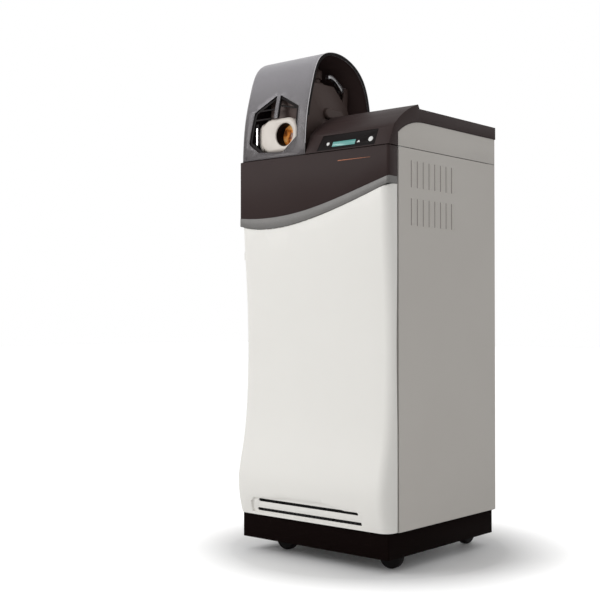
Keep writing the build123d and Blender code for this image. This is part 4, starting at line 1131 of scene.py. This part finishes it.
@dataclass
class WindowRail:
    """Bright rail beside the shroud, a painted highlight on the glossy bevel of the window's left border, on
    a dark strip behind that border.
    """

    sculptor: Sculptor
    strip_x: Point = (-232.0, -209.0)
    rail_x: Point = (-218.0, -212.5)
    strip_z: Point = (1184.0, 1258.0)
    rail_z: Point = (1196.0, 1247.0)
    depth: float = -257.0
    thickness: float = 1.6

    def build(self) -> None:
        """Builds the strip and the rail on it."""
        strip = self._plate(self.strip_x, self.strip_z, self.depth)
        gloss, highlight_finish = Finishes.BLACK_GLOSS, Finishes.RAIL_HIGHLIGHT
        self.sculptor.piece("window_strip", strip, gloss, "hood", "gloss_black", bevel=0.4 * MM)
        rail = self._plate(self.rail_x, self.rail_z, self.depth - self.thickness)
        self.sculptor.piece("window_rail", rail, highlight_finish, "hood", "band_silver", bevel=0.5 * MM)

    def _plate(self, x: Point, z: Point, front: float) -> Shape:
        """Upright plate, given by its range across, its range of height and its front."""
        outline = [(x[0], z[0]), (x[1], z[0]), (x[1], z[1]), (x[0], z[1])]
        return slab(outline, front, front + self.thickness, FRONT_SEAT)


@dataclass
class LouvreShadeLines:
    """Thin strip of painted shade where each pressed louvre rises from its side cover."""

    sculptor: Sculptor
    rise: float = 0.2
    lift: float = 0.15
    width: float = 2.6
    end: float = 1.0

    def build(self) -> None:
        """Builds one piece of painted shade lines for each side cover."""
        low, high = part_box("front_fascia")
        self.painted_shade_lines("side_panel_right", 1.0, high.x / MM)
        self.painted_shade_lines("side_panel_left", -1.0, -low.x / MM)

    def painted_shade_lines(self, name: str, side: float, plane: float) -> None:
        """Builds the painted shade lines of one side cover.

        Args:
            name: The cover's node.
            side: 1 on the right, -1 on the left.
            plane: Distance of the cover's outer face from the middle, in millimetres.
        """
        shape = bmesh.new()
        for y, z0, z1 in self.louvres(name, plane):
            foot, head, start = z0 + self.end, z1 - self.end, y - self.width
            corners = [(start, foot), (y, foot), (y, head), (start, head)]
            base, top = (
                [shape.verts.new(mm(side * (plane + depth), *corner)) for corner in corners]
                for depth in (0.0, self.lift)
            )
            shape.faces.new(top)
            bridge(shape, base, top)
        self.sculptor.piece(f"creases_{name}", shape, Finishes.LOUVRE_SHADE, "cabinet", "cover_grey")

    def louvres(self, name: str, plane: float) -> list[tuple[float, float, float]]:
        """Finds the pressed louvres in a cover's mesh.

        Args:
            name: The cover's node.
            plane: Distance of the cover's outer face from the middle, in millimetres.

        Returns:
            Front edge, foot and head of each louvre, in millimetres.
        """

        def raised(face: Face) -> bool:
            """Whether a face stands proud of the cover's plane."""
            return abs(face.calc_center_median().x) > (plane + self.rise) * MM

        shape = facets(name, raised)
        left = set(shape.verts)
        found = []
        while left:
            island = [left.pop()]
            for vert in island:
                near = {edge.other_vert(vert) for edge in vert.link_edges} & left
                left -= near
                island += near
            heights = [vert.co.z / MM for vert in island]
            found.append((min(vert.co.y / MM for vert in island), min(heights), max(heights)))
        shape.free()
        return sorted(found)


@dataclass
class PanelMarks:
    """Small marks and lamps printed on the control panel."""

    sculptor: Sculptor
    mark_x: float = 168.5
    mark_half: float = 5.4
    mark_foot: float = -3.4
    mark_tip: float = 5.0
    mark_top: float = 0.6
    lamp_x: tuple[float, ...] = (182.0, 189.0, 196.0)
    lamp_rise: float = 4.0
    lamp_radius: float = 1.3
    lamp_sides: int = 16
    lamp_top: float = 0.5
    sunk: float = -0.9

    def build(self) -> None:
        """Builds the triangle mark and the row of pilot lamps."""
        low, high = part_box("control_bezel")
        slope = Vector((0.0, high.y - low.y, high.z - low.z)).normalized()
        display_low, display_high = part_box("display")
        middle = (display_low + display_high) / 2
        seat = Matrix((
            (1.0, 0.0, 0.0, 0.0),
            (0.0, slope.y, -slope.z, middle.y),
            (0.0, slope.z, slope.y, middle.z),
            (0.0, 0.0, 0.0, 1.0),
        ))
        x = self.mark_x
        left, right = x - self.mark_half, x + self.mark_half
        corners = [(left, self.mark_foot), (right, self.mark_foot), (x, self.mark_tip)]
        mark = slab(corners, self.sunk, self.mark_top, seat)
        self.sculptor.piece("panel_mark", mark, Finishes.MARK, "cabinet", "button_white")
        turns = [turn(2 * math.pi * k / self.lamp_sides, self.lamp_radius) for k in range(self.lamp_sides)]
        for number, place in enumerate(self.lamp_x):
            outline = [(place + a, self.lamp_rise + b) for a, b in turns]
            lamp = slab(outline, self.sunk, self.lamp_top, seat)
            self.sculptor.piece(f"panel_lamp_{number}", lamp, Finishes.PILOT, "cabinet", "display_glow")


@dataclass
class FasciaStripe:
    """Slim copper line on the fascia below the control panel."""

    sculptor: Sculptor
    x: Point = (102.0, 214.0)
    z: float = 1120.0
    height: float = 2.2
    taper: float = 0.3
    proud: float = 0.25
    sunk: float = 0.1

    def build(self) -> None:
        """Builds the line, which thins towards its right end."""
        low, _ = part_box("front_fascia")
        front = low.y / MM
        left = self.height / 2
        right = self.taper * left
        outline = [
            (self.x[0], self.z - left),
            (self.x[1], self.z - right),
            (self.x[1], self.z + right),
            (self.x[0], self.z + left),
        ]
        line = slab(outline, front - self.proud, front + self.sunk, FRONT_SEAT)
        self.sculptor.piece("fascia_stripe", line, Finishes.ACCENT, "cabinet", "brass")


@dataclass
class RearHardware:
    """Screws on the rear cover and wire guards over the fans."""

    sculptor: Sculptor
    screw_radius: float = 4.0
    screw_height: float = 2.2
    screw_socket: float = 1.8
    screw_rows: int = 6
    edge: float = 12.0
    guard_wire: float = 1.0
    guard_radii: tuple[float, ...] = (14.0, 25.0, 36.0, 47.0, 57.0)
    guard_overhang: float = 9.0
    guard_stand: float = 2.4
    guard_steps: int = 48
    wire_sides: int = 6

    def build(self) -> None:
        """Builds the screws and guards."""
        low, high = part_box("rear_panel")
        self.screws(low / MM, high / MM)
        for name in ("lower", "upper"):
            self.guard(name, high.y + self.guard_stand * MM)

    def screws(self, low: Vector, high: Vector) -> None:
        """Sets screws along both edges of the rear panel.

        Args:
            low: The panel's lowest corner, in millimetres.
            high: Its highest corner.
        """
        pitch = (high.z - low.z - 2 * self.edge) / (self.screw_rows - 1)
        shape = bmesh.new()
        for row in range(self.screw_rows):
            for x in (low.x + self.edge, high.x - self.edge):
                self._merge(shape, self._head(mm(x, high.y, low.z + self.edge + row * pitch)))
        self.sculptor.piece("rear_panel_screws", shape, Finishes.ZINC, "cabinet", "zinc", smooth=40.0)

    def _head(self, place: Vector) -> Shape:
        """One screw head that looks to the rear."""
        seat = Matrix.Translation(place) @ Matrix.Rotation(math.radians(-90.0), 4, "X")
        return dome_head(self.screw_radius, self.screw_height, self.screw_socket, seat)

    @staticmethod
    def _merge(target: Shape, extra: Shape) -> None:
        """Adds one mesh to another.

        Args:
            target: The mesh that grows.
            extra: The mesh that is used up.
        """
        held = bpy.data.meshes.new("held")
        extra.to_mesh(held)
        extra.free()
        target.from_mesh(held)
        bpy.data.meshes.remove(held)

    def guard(self, name: str, plane: float) -> None:
        """Builds the wire guard over one fan.

        Args:
            name: Which fan.
            plane: Depth of the guard's rings, in metres.
        """
        low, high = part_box(f"fan_frame_{name}")
        hub = Vector(((low.x + high.x) / 2, plane, (low.z + high.z) / 2))
        wire = self.guard_wire * MM
        shape = bmesh.new()
        angles = [2 * math.pi * k / self.guard_steps for k in range(self.guard_steps + 1)]
        for reach in self.guard_radii:
            turns = [turn(angle, reach * MM) for angle in angles]
            ring = [hub + Vector((a, 0.0, b)) for a, b in turns]
            self._merge(shape, tube_along(ring, wire, self.wire_sides))
        for quarter in range(4):
            a, b = turn(math.radians(45.0 + 90.0 * quarter), MM)
            aim = Vector((a, 0.0, b))
            knee = hub + (self.guard_radii[-1] + self.guard_overhang) * aim
            seat = knee - Vector((0.0, self.guard_stand * MM, 0.0))
            spoke = [hub + self.guard_radii[0] * aim, knee, seat]
            self._merge(shape, tube_along(spoke, wire, self.wire_sides))
            self._merge(shape, self._head(seat))
        self.sculptor.piece(f"fan_guard_{name}", shape, Finishes.ZINC, "cabinet", "zinc", smooth=40.0)


@dataclass
class Studio:
    """Plain pale floor, soft lamps and the camera."""

    eye: tuple[float, float, float] = (2001.1, -2621.8, 685.3)
    yaw: float = 40.913
    pitch: float = 0.943
    focal_share: float = 1095.96 / 600.0
    sensor: float = 36.0
    sight: float = 100.0
    floor_side: float = 40.0
    ambient: float = 0.5
    near_floor: float = 0.40
    far_floor: float = 0.62
    near_glow: float = 0.02
    more_glow: float = 0.55
    lamp_target: float = 700.0

    def build(self) -> None:
        """Builds the whole studio."""
        self.camera()
        self.floor()
        self.world()
        self.lamps()
        bpy.context.scene.view_settings.view_transform = "Standard"

    def camera(self) -> None:
        """Places the camera."""
        lens = bpy.data.cameras.new("camera")
        lens.sensor_width = self.sensor
        lens.lens = self.focal_share * self.sensor
        lens.clip_end = self.sight
        camera = bpy.data.objects.new("camera", lens)
        camera.location = mm(*self.eye)
        camera.rotation_euler = Euler((math.radians(90.0 + self.pitch), 0.0, math.radians(self.yaw)))
        bpy.context.scene.collection.objects.link(camera)
        bpy.context.scene.camera = camera

    def floor(self) -> None:
        """Lays the floor, which shows white to the camera away from the object."""
        shape = bmesh.new()
        side = self.floor_side / 2
        corners = [(-side, -side, 0), (side, -side, 0), (side, side, 0), (-side, side, 0)]
        shape.faces.new([shape.verts.new(c) for c in corners])
        floor = placed("floor", shape)
        made = bpy.data.materials.new("floor_pale")
        graph = Graph(made)
        path = graph.add("ShaderNodeLightPath", output="Is Camera Ray")
        speckle = graph.noise(40.0, 2.0)
        length = {"operation": "LENGTH"}
        across = graph.add("ShaderNodeVectorMath", length, {0: graph.place()}, output="Value")
        # Painted shade: the camera-only white lift fades out towards the object, so the floor round its base
        # stays greyer.
        away = ((across - self.near_floor) / (self.far_floor - self.near_floor)).clamped()
        sockets = {
            "Base Color": graph.blend(speckle, (0.93, 0.93, 0.93), (0.91, 0.91, 0.91)),
            "Roughness": 0.6,
            "Specular IOR Level": 0.2,
        }
        glow = path * (self.near_glow + self.more_glow * away)
        lift = graph.add("ShaderNodeEmission", sockets={"Color": WHITE, "Strength": glow})
        graph.surface(graph.add("ShaderNodeAddShader", sockets={0: graph.principled(sockets), 1: lift}))
        floor.data.materials.append(made)

    def world(self) -> None:
        """Lights from all round at a plain level and shows white behind the object."""
        world = bpy.data.worlds.new("studio")
        bpy.context.scene.world = world
        graph = Graph(world)
        rays = ("Is Camera Ray", "Is Glossy Ray", "Is Transmission Ray")
        camera, glossy, clear = (graph.add("ShaderNodeLightPath", output=ray) for ray in rays)
        room, back = (
            graph.add("ShaderNodeBackground", sockets={"Color": WHITE, "Strength": strength})
            for strength in (self.ambient, 1.0)
        )
        shown = camera.largest(glossy).largest(clear)
        both = graph.add("ShaderNodeMixShader", sockets={0: shown, 1: room, 2: back})
        graph.add("ShaderNodeOutputWorld", sockets={"Surface": both})

    def lamps(self) -> None:
        """Hangs the soft lamps."""
        self.lamp("key", mm(-1900, -3300, 2300), 1.8, 57.0)
        self.lamp("fill", mm(3200, -1500, 1500), 2.4, 5.0)
        self.lamp("top", mm(-300, -200, 3600), 2.4, 10.0)

    def lamp(self, name: str, where: Vector, side: float, power: float) -> None:
        """Hangs one square lamp that faces the middle of the object.

        Args:
            name: The lamp's name.
            where: Its place.
            side: Its side, in metres.
            power: Its power, in watts.
        """
        light = bpy.data.lights.new(name, "AREA")
        light.size = side
        light.energy = power
        lamp = bpy.data.objects.new(name, light)
        lamp.location = where
        lamp.rotation_euler = (mm(0, 0, self.lamp_target) - where).to_track_quat("-Z", "Y").to_euler()
        bpy.context.scene.collection.objects.link(lamp)


def main() -> None:
    """Builds the studio and every sub-assembly in order."""
    logging.basicConfig(level=logging.INFO, format="%(message)s")
    sculptor = Sculptor()
    Studio().build()
    CarriedNodes().dress()
    for part in (SightPort, HoodTrim, WindowRail, LouvreShadeLines, PanelMarks, FasciaStripe, RearHardware):
        part(sculptor).build()
        log.info("%s is in place", part.__name__)


if __name__ == "__main__":
    main()
